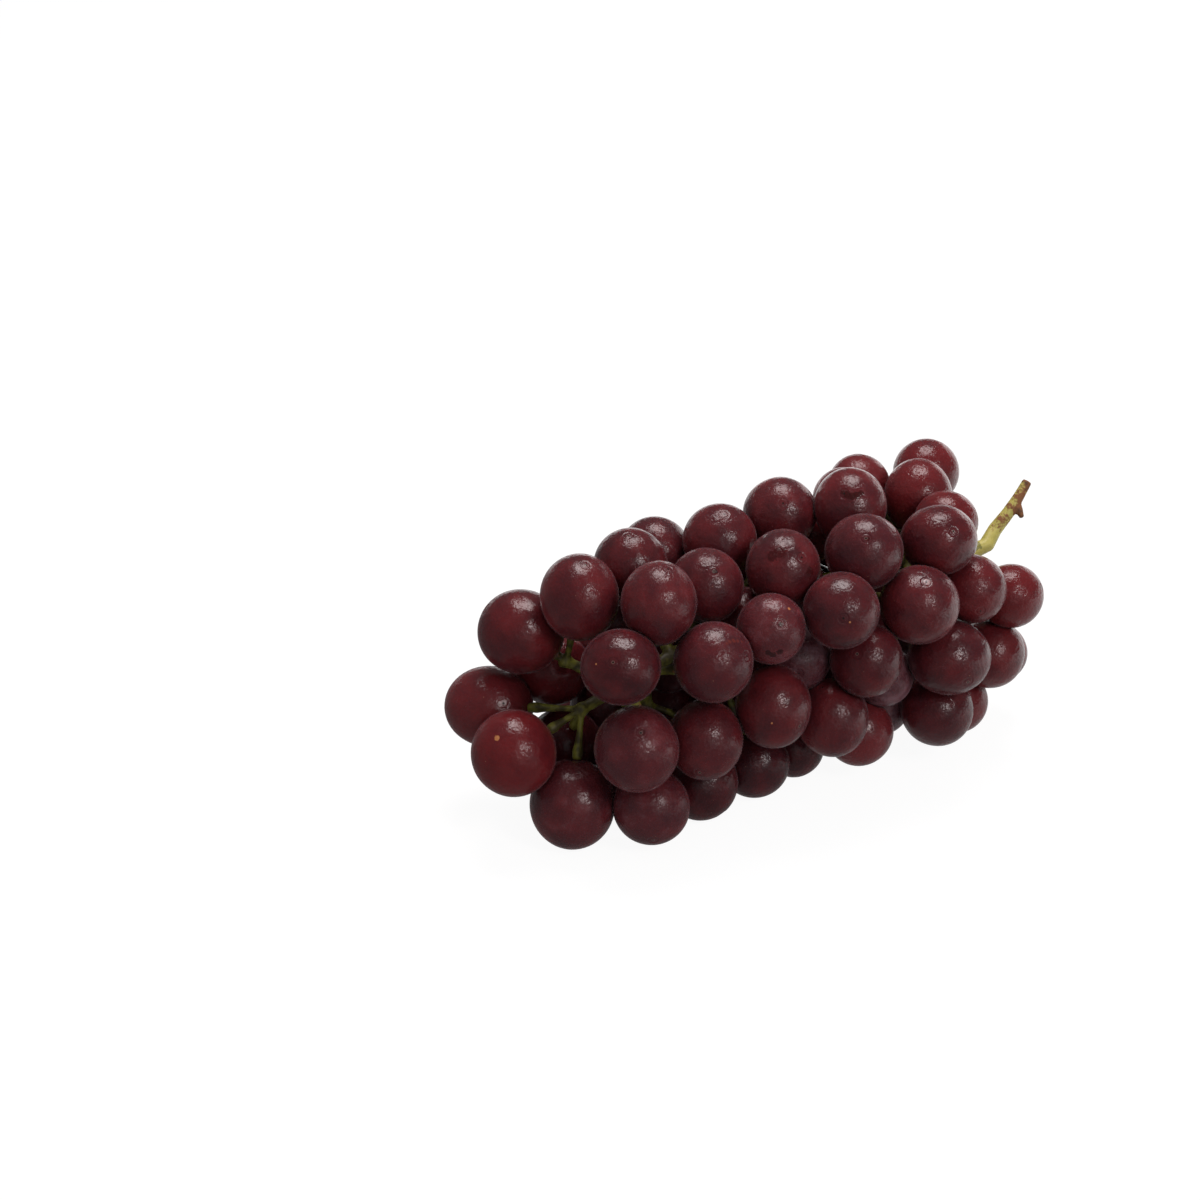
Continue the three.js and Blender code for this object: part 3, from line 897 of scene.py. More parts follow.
def patch_group() -> bpy.types.NodeTree:
    """Builds the soft, broken patches of bloom, bark and dirt."""
    sheet = new_group(
        "soft_patches",
        {"Place": VECTOR, "Scale": FLOAT, "Cover": FLOAT, "Softness": FLOAT},
        ["Mask"],
    )
    given, made = group_ends(sheet)
    broad = sheet.noise(given["Place"], 1.0, 3.0)
    sheet.tree.links.new(given["Scale"], broad.node.inputs["Scale"])
    triple = sheet.math("MULTIPLY", given["Scale"], 4.3)
    small = sheet.noise(given["Place"], 1.0, 2.0)
    sheet.tree.links.new(triple, small.node.inputs["Scale"])
    both = sheet.math("ADD", broad, sheet.math("MULTIPLY", small, 0.45))
    start = sheet.math("SUBTRACT", 0.98, sheet.math("MULTIPLY", given["Cover"], 0.5))
    end = sheet.math("ADD", start, given["Softness"])
    inputs = {"Value": both, "From Min": start, "From Max": end}
    mask = sheet.add("ShaderNodeMapRange", inputs, interpolation_type="SMOOTHSTEP")
    sheet.tree.links.new(mask, made["Mask"])
    return sheet.tree


def speck_group() -> bpy.types.NodeTree:
    """Builds small round pores scattered at random."""
    sheet = new_group(
        "pores",
        {"Place": VECTOR, "Scale": FLOAT, "Share": FLOAT, "Size": FLOAT},
        ["Mask"],
    )
    given, made = group_ends(sheet)
    inputs = {"Vector": given["Place"], "Scale": given["Scale"]}
    distance = sheet.add("ShaderNodeTexVoronoi", inputs, "Distance")
    colour = distance.node.outputs["Color"]
    chance = sheet.add("ShaderNodeSeparateColor", {"Color": colour}, 0)
    chosen = sheet.math("LESS_THAN", chance, given["Share"])
    inner = sheet.math("MULTIPLY", given["Size"], 0.55)
    inputs = {
        "Value": distance, "From Min": inner, "From Max": given["Size"],
        "To Min": 1.0, "To Max": 0.0,
    }
    dot = sheet.add("ShaderNodeMapRange", inputs, interpolation_type="SMOOTHSTEP")
    sheet.tree.links.new(sheet.math("MULTIPLY", dot, chosen), made["Mask"])
    return sheet.tree


def mark_group() -> bpy.types.NodeTree:
    """Builds one round mark about a place, made uneven by a waver around 1."""
    sheet = new_group(
        "round_mark",
        {"Place": VECTOR, "Centre": VECTOR, "Radius": FLOAT, "Waver": FLOAT},
        ["Mask"],
    )
    given, made = group_ends(sheet)
    inputs = {0: given["Place"], 1: given["Centre"]}
    far = sheet.add("ShaderNodeVectorMath", inputs, "Value", operation="DISTANCE")
    uneven = sheet.math("MULTIPLY", far, given["Waver"])
    share = sheet.math("DIVIDE", uneven, given["Radius"])
    inputs = {
        "Value": share, "From Min": 0.7, "From Max": 1.1, "To Min": 1.0, "To Max": 0.0,
    }
    mask = sheet.add("ShaderNodeMapRange", inputs, interpolation_type="SMOOTHSTEP")
    sheet.tree.links.new(mask, made["Mask"])
    return sheet.tree


Colour = tuple[float, float, float, float]


@dataclass(frozen=True)
class SkinFinish:
    """Dark red grape skin under a rubbed bloom, with a painted sheen along the outline,
    painted glints and painted shade on the shaded berries.
    """

    deep: Colour = (0.034, 0.004, 0.006, 1)
    middle: Colour = (0.065, 0.007, 0.010, 1)
    red: Colour = (0.135, 0.011, 0.013, 1)
    bloom: Colour = (0.42, 0.29, 0.35, 1)
    # edge is the pale colour of the painted sheen along the outline.
    edge: Colour = (0.34, 0.20, 0.23, 1)
    pore: Colour = (0.42, 0.2, 0.12, 1)
    scar: Colour = (0.012, 0.004, 0.004, 1)
    scar_rim: Colour = (0.3, 0.2, 0.17, 1)
    broad_scale: float = 1.3
    patch_scale: float = 1.3
    patch_softness: float = 0.55
    blotch_scale: float = 1.6
    medium_scale: float = 4.5
    ripple_scale: float = 11.0
    fine_scale: float = 30.0
    warm_range: tuple[float, float] = (1.2, 2.6)
    dark_range: tuple[float, float] = (1.2, 2.5)
    bloom_share: float = 0.34
    rim_sheen_share: float = 0.22
    pore_share: float = 0.5
    mark_share: float = 0.85
    ringed_share: float = 0.45
    relief_height: float = 0.00016
    relief_strength: float = 0.6
    glow: float = 0.2
    glow_reach: float = 0.003
    sheen: float = 0.06
    refraction: float = 1.42
    clean_roughness: float = 0.12
    soft_roughness: float = 0.25
    bloom_roughness: float = 0.5
    haze_roughness: float = 0.45
    edge_roughness: float = 0.1

    def build(self, places: list[tuple[Vector, Mark]]) -> bpy.types.Material:
        """Makes the material.

        Args:
            places: Where each mark lies on the skin, in metres.

        Returns:
            The material.
        """
        material = bpy.data.materials.new("grape_skin")
        material.use_nodes = True
        sheet = NodeSheet(material.node_tree)
        shader = material.node_tree.nodes["Principled BSDF"]
        here = sheet.add("ShaderNodeTexCoord", {}, "Object")
        way = sheet.add("ShaderNodeAttribute", {}, "Vector", attribute_name="skin_way")
        tone = sheet.add("ShaderNodeAttribute", {}, "Vector", attribute_name="berry_tone")
        parts = sheet.add("ShaderNodeSeparateXYZ", {"Vector": tone}, 0)
        redness, bloom, dark = parts, parts.node.outputs[1], parts.node.outputs[2]
        seed = sheet.add("ShaderNodeAttribute", {}, "Fac", attribute_name="berry_seed")
        shift = sheet.add("ShaderNodeVectorMath", {0: way, 1: seed}, operation="ADD")
        turned = sheet.add("ShaderNodeVectorMath", {0: shift, 1: (7, 3, 5)}, operation="ADD")
        broad = sheet.noise(shift, self.broad_scale)
        medium = sheet.noise(shift, self.medium_scale, 3.0)
        ripple = sheet.noise(shift, self.ripple_scale)
        fine = sheet.noise(shift, self.fine_scale)
        warmth = sheet.math("MULTIPLY_ADD", broad, 2.2, redness)
        warmth = sheet.math("ADD", warmth, sheet.math("MULTIPLY", medium, 0.7))
        warm = sheet.step(warmth, *self.warm_range)
        blotch = sheet.noise(turned, self.blotch_scale)
        # The darkness adds random blotches, and painted shade on the shaded berries.
        shade = sheet.math("MULTIPLY_ADD", blotch, 1.8, dark)
        shade = sheet.math("ADD", shade, sheet.math("MULTIPLY", medium, 0.6))
        colour = sheet.mix(warm, self.middle, self.red)
        colour = sheet.mix(sheet.step(shade, *self.dark_range), colour, self.deep)
        cover = sheet.math("MULTIPLY", bloom, 0.9)
        inputs = {
            "Place": shift, "Scale": self.patch_scale, "Cover": cover,
            "Softness": self.patch_softness,
        }
        mask = sheet.group(patch_group(), inputs, "Mask")
        veil = sheet.math("MULTIPLY_ADD", mask, 0.85, 0.15)
        grain = sheet.math("ADD", sheet.math("MULTIPLY", fine, 1.2), 0.4)
        veil = sheet.math("MULTIPLY", sheet.math("MULTIPLY", veil, grain), bloom)
        pale = sheet.math("MULTIPLY", veil, self.bloom_share)
        colour = sheet.mix(pale, colour, self.bloom)
        facing = sheet.add("ShaderNodeLayerWeight", {"Blend": 0.5}, "Facing")
        # Painted sheen: the skin turns paler towards its outline, by how sideways it is seen.
        painted_rim_sheen = sheet.math("MULTIPLY", sheet.step(facing, 0.6, 1.0), self.rim_sheen_share)
        colour = sheet.mix(sheet.math("MULTIPLY", painted_rim_sheen, grain), colour, self.edge)
        pores = sheet.group(
            speck_group(), {"Place": shift, "Scale": 5.0, "Share": 0.16, "Size": 0.075},
            "Mask",
        )
        dotted = sheet.math("MULTIPLY", pores, self.pore_share)
        colour = sheet.mix(dotted, colour, self.pore)
        dull = sheet.math("MULTIPLY", veil, 1.4)
        lumps = sheet.math("MULTIPLY_ADD", fine, 0.3, sheet.math("MULTIPLY", medium, 2.4))
        height = sheet.math("ADD", lumps, sheet.math("MULTIPLY", ripple, 1.4))
        marks = mark_group()
        waver = sheet.math("MULTIPLY", sheet.noise(here, 1100.0, 1.0), 0.9)
        waver = sheet.math("ADD", waver, 0.55)
        for place, mark in places:
            tint, dulling = mark.kind.value
            inputs = {
                "Place": here, "Centre": place, "Radius": mark.radius * METRES, "Waver": waver,
            }
            spot = sheet.group(marks, inputs, "Mask")
            # Each mark paints its colour: a stain, and for GLINT a painted highlight.
            stain_and_glint = sheet.math("MULTIPLY", spot, self.mark_share)
            colour = sheet.mix(stain_and_glint, colour, (*tint, 1))
            dull = sheet.math("ADD", dull, sheet.math("MULTIPLY", spot, dulling))
        scar = sheet.add("ShaderNodeAttribute", {}, "Fac", attribute_name="scar_reach")
        ringed = sheet.math("LESS_THAN", sheet.math("FRACT", seed), self.ringed_share)
        rim = sheet.math("MULTIPLY", sheet.step(scar, 1.1, 0.8), 0.4)
        rim = sheet.math("MULTIPLY", rim, ringed)
        colour = sheet.mix(rim, colour, self.scar_rim)
        colour = sheet.mix(sheet.step(scar, 0.72, 0.5), colour, self.scar)
        glossy = sheet.step(sheet.math("ADD", ripple, medium), 0.85, 1.15)
        clean = sheet.blend(glossy, self.clean_roughness, self.soft_roughness)
        rough = sheet.blend(dull, clean, self.bloom_roughness)
        rough = sheet.blend(sheet.step(facing, 0.75, 0.95), rough, self.edge_roughness)
        normal = sheet.add(
            "ShaderNodeBump",
            {
                "Height": height, "Distance": self.relief_height,
                "Strength": self.relief_strength,
            },
            "Normal",
        )
        links = material.node_tree.links
        links.new(colour, shader.inputs["Base Color"])
        links.new(rough, shader.inputs["Roughness"])
        links.new(normal, shader.inputs["Normal"])
        haze = sheet.math("MULTIPLY_ADD", veil, 0.3, sheet.math("MULTIPLY", ripple, 0.1))
        haze = sheet.math("MULTIPLY", haze, sheet.step(facing, 0.75, 0.4))
        links.new(haze, shader.inputs["Coat Weight"])
        shader.inputs["Coat Roughness"].default_value = self.haze_roughness
        shader.inputs["IOR"].default_value = self.refraction
        shader.inputs["Subsurface Weight"].default_value = self.glow
        shader.inputs["Subsurface Radius"].default_value = (1.0, 0.22, 0.16)
        shader.inputs["Subsurface Scale"].default_value = self.glow_reach
        shader.inputs["Sheen Weight"].default_value = self.sheen
        shader.inputs["Sheen Roughness"].default_value = 0.3
        shader.inputs["Sheen Tint"].default_value = (1.0, 0.82, 0.84, 1)
        return material


@dataclass(frozen=True)
class StemFinish:
    """Yellow-green stem that has gone brown in patches and at the cut, painted darker olive
    inside the bunch, where shade falls.
    """

    # olive is the stem's darker colour, used as painted shade inside the bunch.
    olive: Colour = (0.06, 0.05, 0.012, 1)
    green: Colour = (0.22, 0.21, 0.03, 1)
    yellow: Colour = (0.58, 0.52, 0.13, 1)
    brown: Colour = (0.25, 0.10, 0.035, 1)
    dark: Colour = (0.07, 0.035, 0.018, 1)
    broad_scale: float = 240.0
    patch_scale: float = 330.0
    patch_softness: float = 0.2
    fine_scale: float = 900.0
    relief_height: float = 0.00015
    relief_strength: float = 0.6
    fresh_roughness: float = 0.45
    brown_roughness: float = 0.75
    glow: float = 0.1
    glow_reach: float = 0.0008

    def build(self) -> bpy.types.Material:
        """Makes the material.

        Returns:
            The material.
        """
        material = bpy.data.materials.new("green_stem")
        material.use_nodes = True
        sheet = NodeSheet(material.node_tree)
        shader = material.node_tree.nodes["Principled BSDF"]
        here = sheet.add("ShaderNodeTexCoord", {}, "Object")
        age = sheet.add("ShaderNodeAttribute", {}, "Fac", attribute_name="stem_age")
        broad = sheet.noise(here, self.broad_scale, 3.0)
        fine = sheet.noise(here, self.fine_scale, 4.0)
        # Painted shade: darker olive inside the bunch and paler yellow on the outer parts, by
        # stem_outer, with random patches of tone.
        outer = sheet.add("ShaderNodeAttribute", {}, "Fac", attribute_name="stem_outer")
        tone_and_painted_shade = sheet.math("ADD", sheet.math("MULTIPLY", broad, 0.8), outer)
        colour = sheet.mix(sheet.step(tone_and_painted_shade, 0.32, 0.5), self.olive, self.green)
        colour = sheet.mix(sheet.step(tone_and_painted_shade, 0.9, 1.6), colour, self.yellow)
        cover = sheet.math("ADD", sheet.math("MULTIPLY", age, 1.1), 0.12)
        inputs = {
            "Place": here, "Scale": self.patch_scale, "Cover": cover,
            "Softness": self.patch_softness,
        }
        patches = sheet.group(patch_group(), inputs, "Mask")
        colour = sheet.mix(patches, colour, self.brown)
        worn = sheet.math("ADD", sheet.math("MULTIPLY", fine, 0.9), age)
        colour = sheet.mix(sheet.step(worn, 1.15, 1.6), colour, self.dark)
        normal = sheet.add(
            "ShaderNodeBump",
            {
                "Height": sheet.math("ADD", fine, patches),
                "Distance": self.relief_height, "Strength": self.relief_strength,
            },
            "Normal",
        )
        links = material.node_tree.links
        links.new(colour, shader.inputs["Base Color"])
        links.new(normal, shader.inputs["Normal"])
        rough = sheet.blend(patches, self.fresh_roughness, self.brown_roughness)
        links.new(rough, shader.inputs["Roughness"])
        shader.inputs["Subsurface Weight"].default_value = self.glow
        shader.inputs["Subsurface Radius"].default_value = (1.0, 0.9, 0.3)
        shader.inputs["Subsurface Scale"].default_value = self.glow_reach
        return material


def deselect_all() -> None:
    """Clears the selection of objects."""
    bpy.ops.object.select_all(action="DESELECT")


def select_only(obj: bpy.types.Object) -> None:
    """Makes one object the selected and active one."""
    deselect_all()
    obj.select_set(True)
    bpy.context.view_layer.objects.active = obj


def coordinates(mesh: bpy.types.Mesh) -> Array:
    """The mesh's vertex places."""
    flat = np.zeros(len(mesh.vertices) * 3)
    mesh.vertices.foreach_get("co", flat)
    return flat.reshape(-1, 3)


def set_coordinates(mesh: bpy.types.Mesh, points: Array) -> None:
    """Moves the mesh's vertices."""
    mesh.vertices.foreach_set("co", points.astype(np.float32).ravel())
    mesh.update()


def write_attribute(mesh: bpy.types.Mesh, name: str, values: Array) -> None:
    """Stores one number or one vector for each vertex."""
    kind, key = ("FLOAT_VECTOR", "vector") if values.ndim == 2 else ("FLOAT", "value")
    attribute = mesh.attributes.get(name) or mesh.attributes.new(name, kind, "POINT")
    attribute.data.foreach_set(key, values.astype(np.float32).ravel())


def apply_modifier(obj: bpy.types.Object, kind: str, **settings) -> None:
    """Adds a modifier to an object and applies it."""
    select_only(obj)
    modifier = obj.modifiers.new(kind.lower(), kind)
    for name, value in settings.items():
        setattr(modifier, name, value)
    bpy.ops.object.modifier_apply(modifier=modifier.name)


def join_pieces(pieces: list[bpy.types.Object], name: str) -> bpy.types.Object:
    """Joins objects into one.

    Args:
        pieces: The objects, the first of which takes in the others.
        name: The joined object's name.

    Returns:
        The joined object.
    """
    select_only(pieces[0])
    for piece in pieces:
        piece.select_set(True)
    bpy.ops.object.join()
    joined = bpy.context.view_layer.objects.active
    joined.name = name
    joined.data.name = name
    return joined


@dataclass
class BerryCluster:
    """All berries: one modelled berry, copied, turned, pressed and joined."""

    layout: BunchLayout
    segments: int = 56
    rings: int = 36
    recess_angle: float = math.radians(17)
    recess_depth: float = 0.05
    scar_radius: float = 0.045
    clearance: float = 0.006
    softness: float = 0.015
    table_softness: float = 0.15
    pieces: tuple[tuple[str, float, float], ...] = (
        ("berries_tip", -1e3, -32), ("berries_middle", -32, 16), ("berries_shoulder", 16, 1e3),
    )

    def _model_berry(self) -> bpy.types.Object:
        """Models one round berry: stalk recess at +Z, blossom scar at -Z."""
        deselect_all()
        bpy.ops.mesh.primitive_uv_sphere_add(
            segments=self.segments, ring_count=self.rings, radius=1
        )
        berry = bpy.context.active_object
        berry.name = "berry_pattern"
        bpy.ops.object.mode_set(mode="EDIT")
        bpy.ops.mesh.select_mode(type="VERT")
        for share in (1.0, 0.7, 0.4):
            self._select_cap(berry, 1, self.recess_angle * share)
            bpy.ops.transform.translate(value=(0, 0, -self.recess_depth / 3))
        bpy.ops.mesh.select_mode(type="FACE")
        self._select_cap(berry, -1, math.pi / self.rings * 1.5, faces=True)
        bpy.ops.mesh.inset(thickness=0.03)
        bpy.ops.mesh.inset(thickness=0.015)
        bpy.ops.transform.translate(value=(0, 0, 0.012))
        bpy.ops.mesh.inset(thickness=0.02)
        bpy.ops.transform.translate(value=(0, 0, -0.006))
        bpy.ops.object.mode_set(mode="OBJECT")
        bpy.ops.object.shade_smooth()
        points = coordinates(berry.data)
        unit = points / np.linalg.norm(points, axis=1, keepdims=True)
        write_attribute(berry.data, "skin_way", unit)
        aside = np.hypot(points[:, 0], points[:, 1])
        reach = np.where(points[:, 2] < 0, aside / self.scar_radius, 9.0)
        write_attribute(berry.data, "scar_reach", np.minimum(reach, 9.0))
        return berry

    @staticmethod
    def _select_cap(
        obj: bpy.types.Object, side: int, angle: float, faces: bool = False
    ) -> None:
        """Selects the vertices or faces round a pole, in edit mode.

        Args:
            obj: The ball.
            side: The pole, 1 for the upper one and -1 for the lower one.
            angle: How far the selection reaches from the pole, in radians.
            faces: Whether faces are selected and not vertices.
        """
        bpy.ops.mesh.select_all(action="DESELECT")
        bpy.ops.object.mode_set(mode="OBJECT")
        mesh = obj.data
        for element in mesh.polygons if faces else mesh.vertices:
            place = element.center if faces else element.co
            element.select = side * place.normalized().z > math.cos(angle)
        bpy.ops.object.mode_set(mode="EDIT")

    def shape_of(self, berry: Berry) -> Array:
        """The matrix that takes a direction to a place on the skin.

        Args:
            berry: The berry.

        Returns:
            The matrix, for places measured from the berry's centre.
        """
        view = self.layout.view
        if berry.seen:
            outline = SEEN[berry.name]
            mean = (outline.width + outline.height) / 2
            shape = np.outer(view.right, view.right) * outline.width / mean
            shape += np.outer(view.up, view.up) * outline.height / mean
            shape += np.outer(view.back, view.back)
            return shape * berry.radius
        length, girth = self.layout.length_share, self.layout.girth_share
        along = np.outer(berry.axis, berry.axis) * (length - girth)
        return (np.eye(3) * girth + along) * berry.radius

    def _scar_way(self, berry: Berry) -> Array:
        """The direction from the berry's centre to its blossom scar."""
        if berry.name not in SCARS:
            return -berry.axis
        place = self.skin_point(berry, *SCARS[berry.name])
        way = place - berry.centre
        return way / np.linalg.norm(way)

    def skin_point(self, berry: Berry, u: float, v: float) -> Array:
        """Finds the place on a berry's skin that a pixel shows.

        Args:
            berry: The berry.
            u: The pixel's column.
            v: The pixel's row.

        Returns:
            The place, or the nearest point of the outline.
        """
        view = self.layout.view
        ray = view.ray(u, v)
        inverse = np.linalg.inv(self.shape_of(berry))
        start, step = inverse @ (view.eye - berry.centre), inverse @ ray
        a, b, c = step @ step, start @ step, start @ start - 1
        depth = (-b - math.sqrt(max(0.0, b * b - a * c))) / a
        offset = view.eye + ray * depth - berry.centre
        scale = np.linalg.norm(inverse @ offset)
        return berry.centre + offset / scale

    def _dented(self, berry: Berry, points: Array) -> Array:
        """Presses a berry's skin where it touches other berries and the table.

        Args:
            berry: The berry.
            points: Its vertices.

        Returns:
            The moved vertices.
        """
        depth = self.layout.view.picture(berry.centre)[2]
        for other in self.layout.berries:
            span = other.centre - berry.centre
            distance = float(np.linalg.norm(span))
            near = (berry.radius + other.radius) * self.layout.length_share
            if other is berry or distance > near:
                continue
            if berry.seen or other.seen:
                yields = not berry.seen or (
                    other.seen and depth > self.layout.view.picture(other.centre)[2]
                )
                if yields:
                    points = self._pressed_by(other, points)
            else:
                way = span / distance
                share = (distance ** 2 + berry.radius ** 2 - other.radius ** 2) / 2
                excess = (points - berry.centre) @ way - share / distance + 0.08
                soft = (excess + np.sqrt(excess ** 2 + 0.03)) / 2
                points = points - soft[:, None] * way
        height = points[:, 2]
        points[:, 2] = (height + np.sqrt(height ** 2 + self.table_softness ** 2)) / 2
        return points

    def _pressed_by(self, other: Berry, points: Array) -> Array:
        """Pushes points out of another berry, along the line from its centre.

        Args:
            other: The berry that presses.
            points: Places on the pressed berry.

        Returns:
            The moved places.
        """
        offset = points - other.centre
        size = np.linalg.norm(offset @ np.linalg.inv(self.shape_of(other)).T, axis=1)
        edge = 1 + self.clearance
        excess = size - edge
        soft = edge + (excess + np.sqrt(excess ** 2 + self.softness ** 2)) / 2
        return other.centre + offset * (soft / size)[:, None]

    def _lumps(self, unit: Array, random: np.random.Generator) -> Array:
        """A berry's slight unevenness, as a factor on its radius.

        Args:
            unit: Directions from the berry's centre.
            random: The source of the lumps' directions and places.

        Returns:
            The factor for each direction.
        """
        factor = np.ones(len(unit))
        for waves, depth in ((1.7, 0.009), (2.6, 0.008), (4.1, 0.005), (7.3, 0.0015)):
            way = random.normal(size=3)
            way *= waves / np.linalg.norm(way)
            factor += depth * np.sin(unit @ way + random.uniform(0, 2 * math.pi))
        return factor

    def _copy_berry(
        self, pattern: bpy.types.Object, berry: Berry, random: np.random.Generator
    ) -> bpy.types.Object:
        """Makes one berry from the pattern, in its place.

        Args:
            pattern: The modelled berry.
            berry: The berry's place and size.
            random: The source of its unevenness.

        Returns:
            The new object.
        """
        copy = pattern.copy()
        copy.data = pattern.data.copy()
        bpy.context.scene.collection.objects.link(copy)
        z = -self._scar_way(berry)
        helper = np.array([0.0, 0.0, 1.0]) if abs(z[2]) < 0.9 else np.array([1.0, 0.0, 0.0])
        x = np.cross(helper, z)
        x /= np.linalg.norm(x)
        turn = np.column_stack([x, np.cross(z, x), z])
        unit = coordinates(pattern.data) @ turn.T
        unit *= self._lumps(unit, random)[:, None]
        points = berry.centre + unit @ self.shape_of(berry).T
        points = self._dented(berry, points) - self.layout.origin
        set_coordinates(copy.data, points * METRES)
        tone = SEEN[berry.name].tone if berry.seen else Tone.PLAIN
        jitter = random.uniform(-0.12, 0.12, size=3)
        values = np.clip(np.array(tone.value) + jitter, 0, 1)
        count = len(points)
        write_attribute(copy.data, "berry_tone", np.tile(values, (count, 1)))
        seed = random.uniform(0, 50)
        write_attribute(copy.data, "berry_seed", np.full(count, seed))
        return copy

    def build(self) -> list[bpy.types.Object]:
        """Builds every berry and joins them into pieces along the bunch."""
        random = np.random.default_rng(LAYOUT_SEED)
        pattern = self._model_berry()
        groups: dict[str, list[bpy.types.Object]] = {name: [] for name, _, _ in self.pieces}
        for berry in self.layout.berries:
            for name, low, high in self.pieces:
                if low <= berry.centre[0] < high:
                    groups[name].append(self._copy_berry(pattern, berry, random))
        bpy.data.objects.remove(pattern)
        return [join_pieces(members, name) for name, members in groups.items()]

    def dress(self, pieces: list[bpy.types.Object]) -> None:
        """Gives the pieces their skin and names what they replace.

        Args:
            pieces: The groups of berries.
        """
        by_name = {berry.name: berry for berry in self.layout.berries}
        places = []
        for mark in MARKS:
            place = self.skin_point(by_name[mark.berry], mark.u, mark.v)
            places.append((Vector((place - self.layout.origin) * METRES), mark))
        skin = SkinFinish().build(places)
        for piece in pieces:
            piece.data.materials.clear()
            piece.data.materials.append(skin)
            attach(piece, "root")
            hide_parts("berries")


@dataclass
class Limb:
    """A round branch: points, radii, how brown it is and how far outside it lies, which sets
    its painted shade.
    """

    points: list[Array]
    radii: tuple[float, ...]
    age: tuple[float, ...]
    outer: tuple[float, ...] = (0, 0)


@dataclass
class StemFrame:
    """The green stem: main stem, laterals and a pedicel to every berry."""

    layout: BunchLayout
    cluster: BerryCluster
    sides: int = 12
    rings: int = 28
    main_radii: tuple[float, ...] = (1.5, 1.8, 2.0, 2.2, 2.4, 2.5, 1.35)
    stub_radius: float = 1.1
    cap_radius: float = 1.5
    sunk: float = 0.3
    voxel: float = 0.42
    smoothing: int = 6

    def limbs(self) -> list[Limb]:
        """Lists every limb of the stem."""
        view, layout = self.layout.view, self.layout
        peduncle = [view.point(*place) for place in PEDUNCLE]
        limbs = [
            Limb([*layout.axis_points, *peduncle], self.main_radii,
                 (0.1, 0, 0, 0, 0, 0, 0.06, 0.1, 0.85), (0, 0, 0, 0, 0, 0.5, 1, 1, 1)),
            Limb([peduncle[2], view.point(*STUB_END)],
                 (self.stub_radius, self.stub_radius, self.stub_radius * 0.7),
                 (0.4, 0.9, 1.0), (1, 1)),
        ]
        for hub in layout.hubs:
            if hub.root is not None and hub.fruit:
                way = layout.route(hub.root, hub.point, layout.lateral_radius)
                radii = (layout.lateral_root_radius, layout.lateral_radius)
                limbs.append(Limb(way, radii, (0, 0)))
        for berry in layout.berries:
            limbs.append(self._pedicel(berry))
        return limbs

    def _pedicel(self, berry: Berry) -> Limb:
        """The thin limb from a hub into a berry's stalk recess.

        Args:
            berry: The berry that hangs on it.

        Returns:
            The limb, from its hub to the berry.
        """
        layout = self.layout
        inverse = np.linalg.inv(self.cluster.shape_of(berry))
        reach = 1 / np.linalg.norm(inverse @ berry.axis)
        surface = berry.centre + berry.axis * (reach - self.sunk)
        neck = berry.radius * layout.length_share + layout.gap + layout.cap_length
        neck = berry.centre + berry.axis * neck
        start = layout.hubs[berry.hub].point
        way = layout.route(start, neck, layout.pedicel_radius)
        thin = layout.pedicel_radius
        radii = (thin * 1.25, thin * 0.95, thin * 0.9, thin, thin * 1.15, self.cap_radius,
                 self.cap_radius * 0.9)
        return Limb([*way, surface], radii, (0, 0, 0, 0.1, 0.25))

    def _model_tube(self) -> bpy.types.Object:
        """Models one closed tube of many rings along Z, from 0 to 1."""
        deselect_all()
        bpy.ops.mesh.primitive_circle_add(
            vertices=self.sides, radius=1, fill_type="TRIFAN"
        )
        tube = bpy.context.active_object
        bpy.ops.object.mode_set(mode="EDIT")
        for _ in range(self.rings):
            bpy.ops.mesh.extrude_region_move(
                TRANSFORM_OT_translate={"value": (0, 0, 1 / self.rings)}
            )
        bpy.ops.mesh.select_all(action="SELECT")
        bpy.ops.mesh.normals_make_consistent(inside=False)
        bpy.ops.object.mode_set(mode="OBJECT")
        return tube

    def _bend_tube(
        self, tube: bpy.types.Object, limb: Limb, random: np.random.Generator
    ) -> tuple[bpy.types.Object, Array, Array, Array]:
        """Copies the tube along a limb.

        Args:
            tube: The modelled tube.
            limb: The limb's way and radii.
            random: The source of its unevenness.

        Returns:
            The new object, its ring centres, and each ring's age and outerness.
        """
        copy = tube.copy()
        copy.data = tube.data.copy()
        bpy.context.scene.collection.objects.link(copy)
        curve = StemCurve(limb.points)
        shares = np.linspace(0, 1, self.rings + 1)
        centres = np.array([curve.point(share) for share in shares])
        radii = np.interp(shares, np.linspace(0, 1, len(limb.radii)), limb.radii)
        radii = radii * (1 + random.uniform(-0.05, 0.05, size=len(radii)))
        points = coordinates(tube.data)
        ring = np.rint(points[:, 2] * self.rings).astype(int)
        tangent = curve.tangent(0.0)
        x = np.cross(tangent, [0.3, 0.5, 0.8])
        frames = []
        for share in shares:
            tangent = curve.tangent(share)
            x = x - tangent * (x @ tangent)
            x = x / np.linalg.norm(x)
            frames.append((x, np.cross(tangent, x)))
        across = np.array([frame[0] for frame in frames])[ring]
        upward = np.array([frame[1] for frame in frames])[ring]
        moved = centres[ring] + radii[ring][:, None] * (
            across * points[:, :1] + upward * points[:, 1:2]
        )
        set_coordinates(copy.data, (moved - self.layout.origin) * METRES)
        age = np.interp(shares, np.linspace(0, 1, len(limb.age)), limb.age)
        outer = np.interp(shares, np.linspace(0, 1, len(limb.outer)), limb.outer)
        return copy, centres, age, outer

    def _knob(self, hub: Hub) -> bpy.types.Object:
        """Models the swelling where pedicels branch off.

        Args:
            hub: The place where they branch off.

        Returns:
            The swelling.
        """
        deselect_all()
        bpy.ops.mesh.primitive_ico_sphere_add(
            subdivisions=3, radius=self.layout.knob_radius * METRES
        )
        knob = bpy.context.active_object
        place = (hub.point - self.layout.origin) * METRES
        set_coordinates(knob.data, coordinates(knob.data) + place)
        return knob

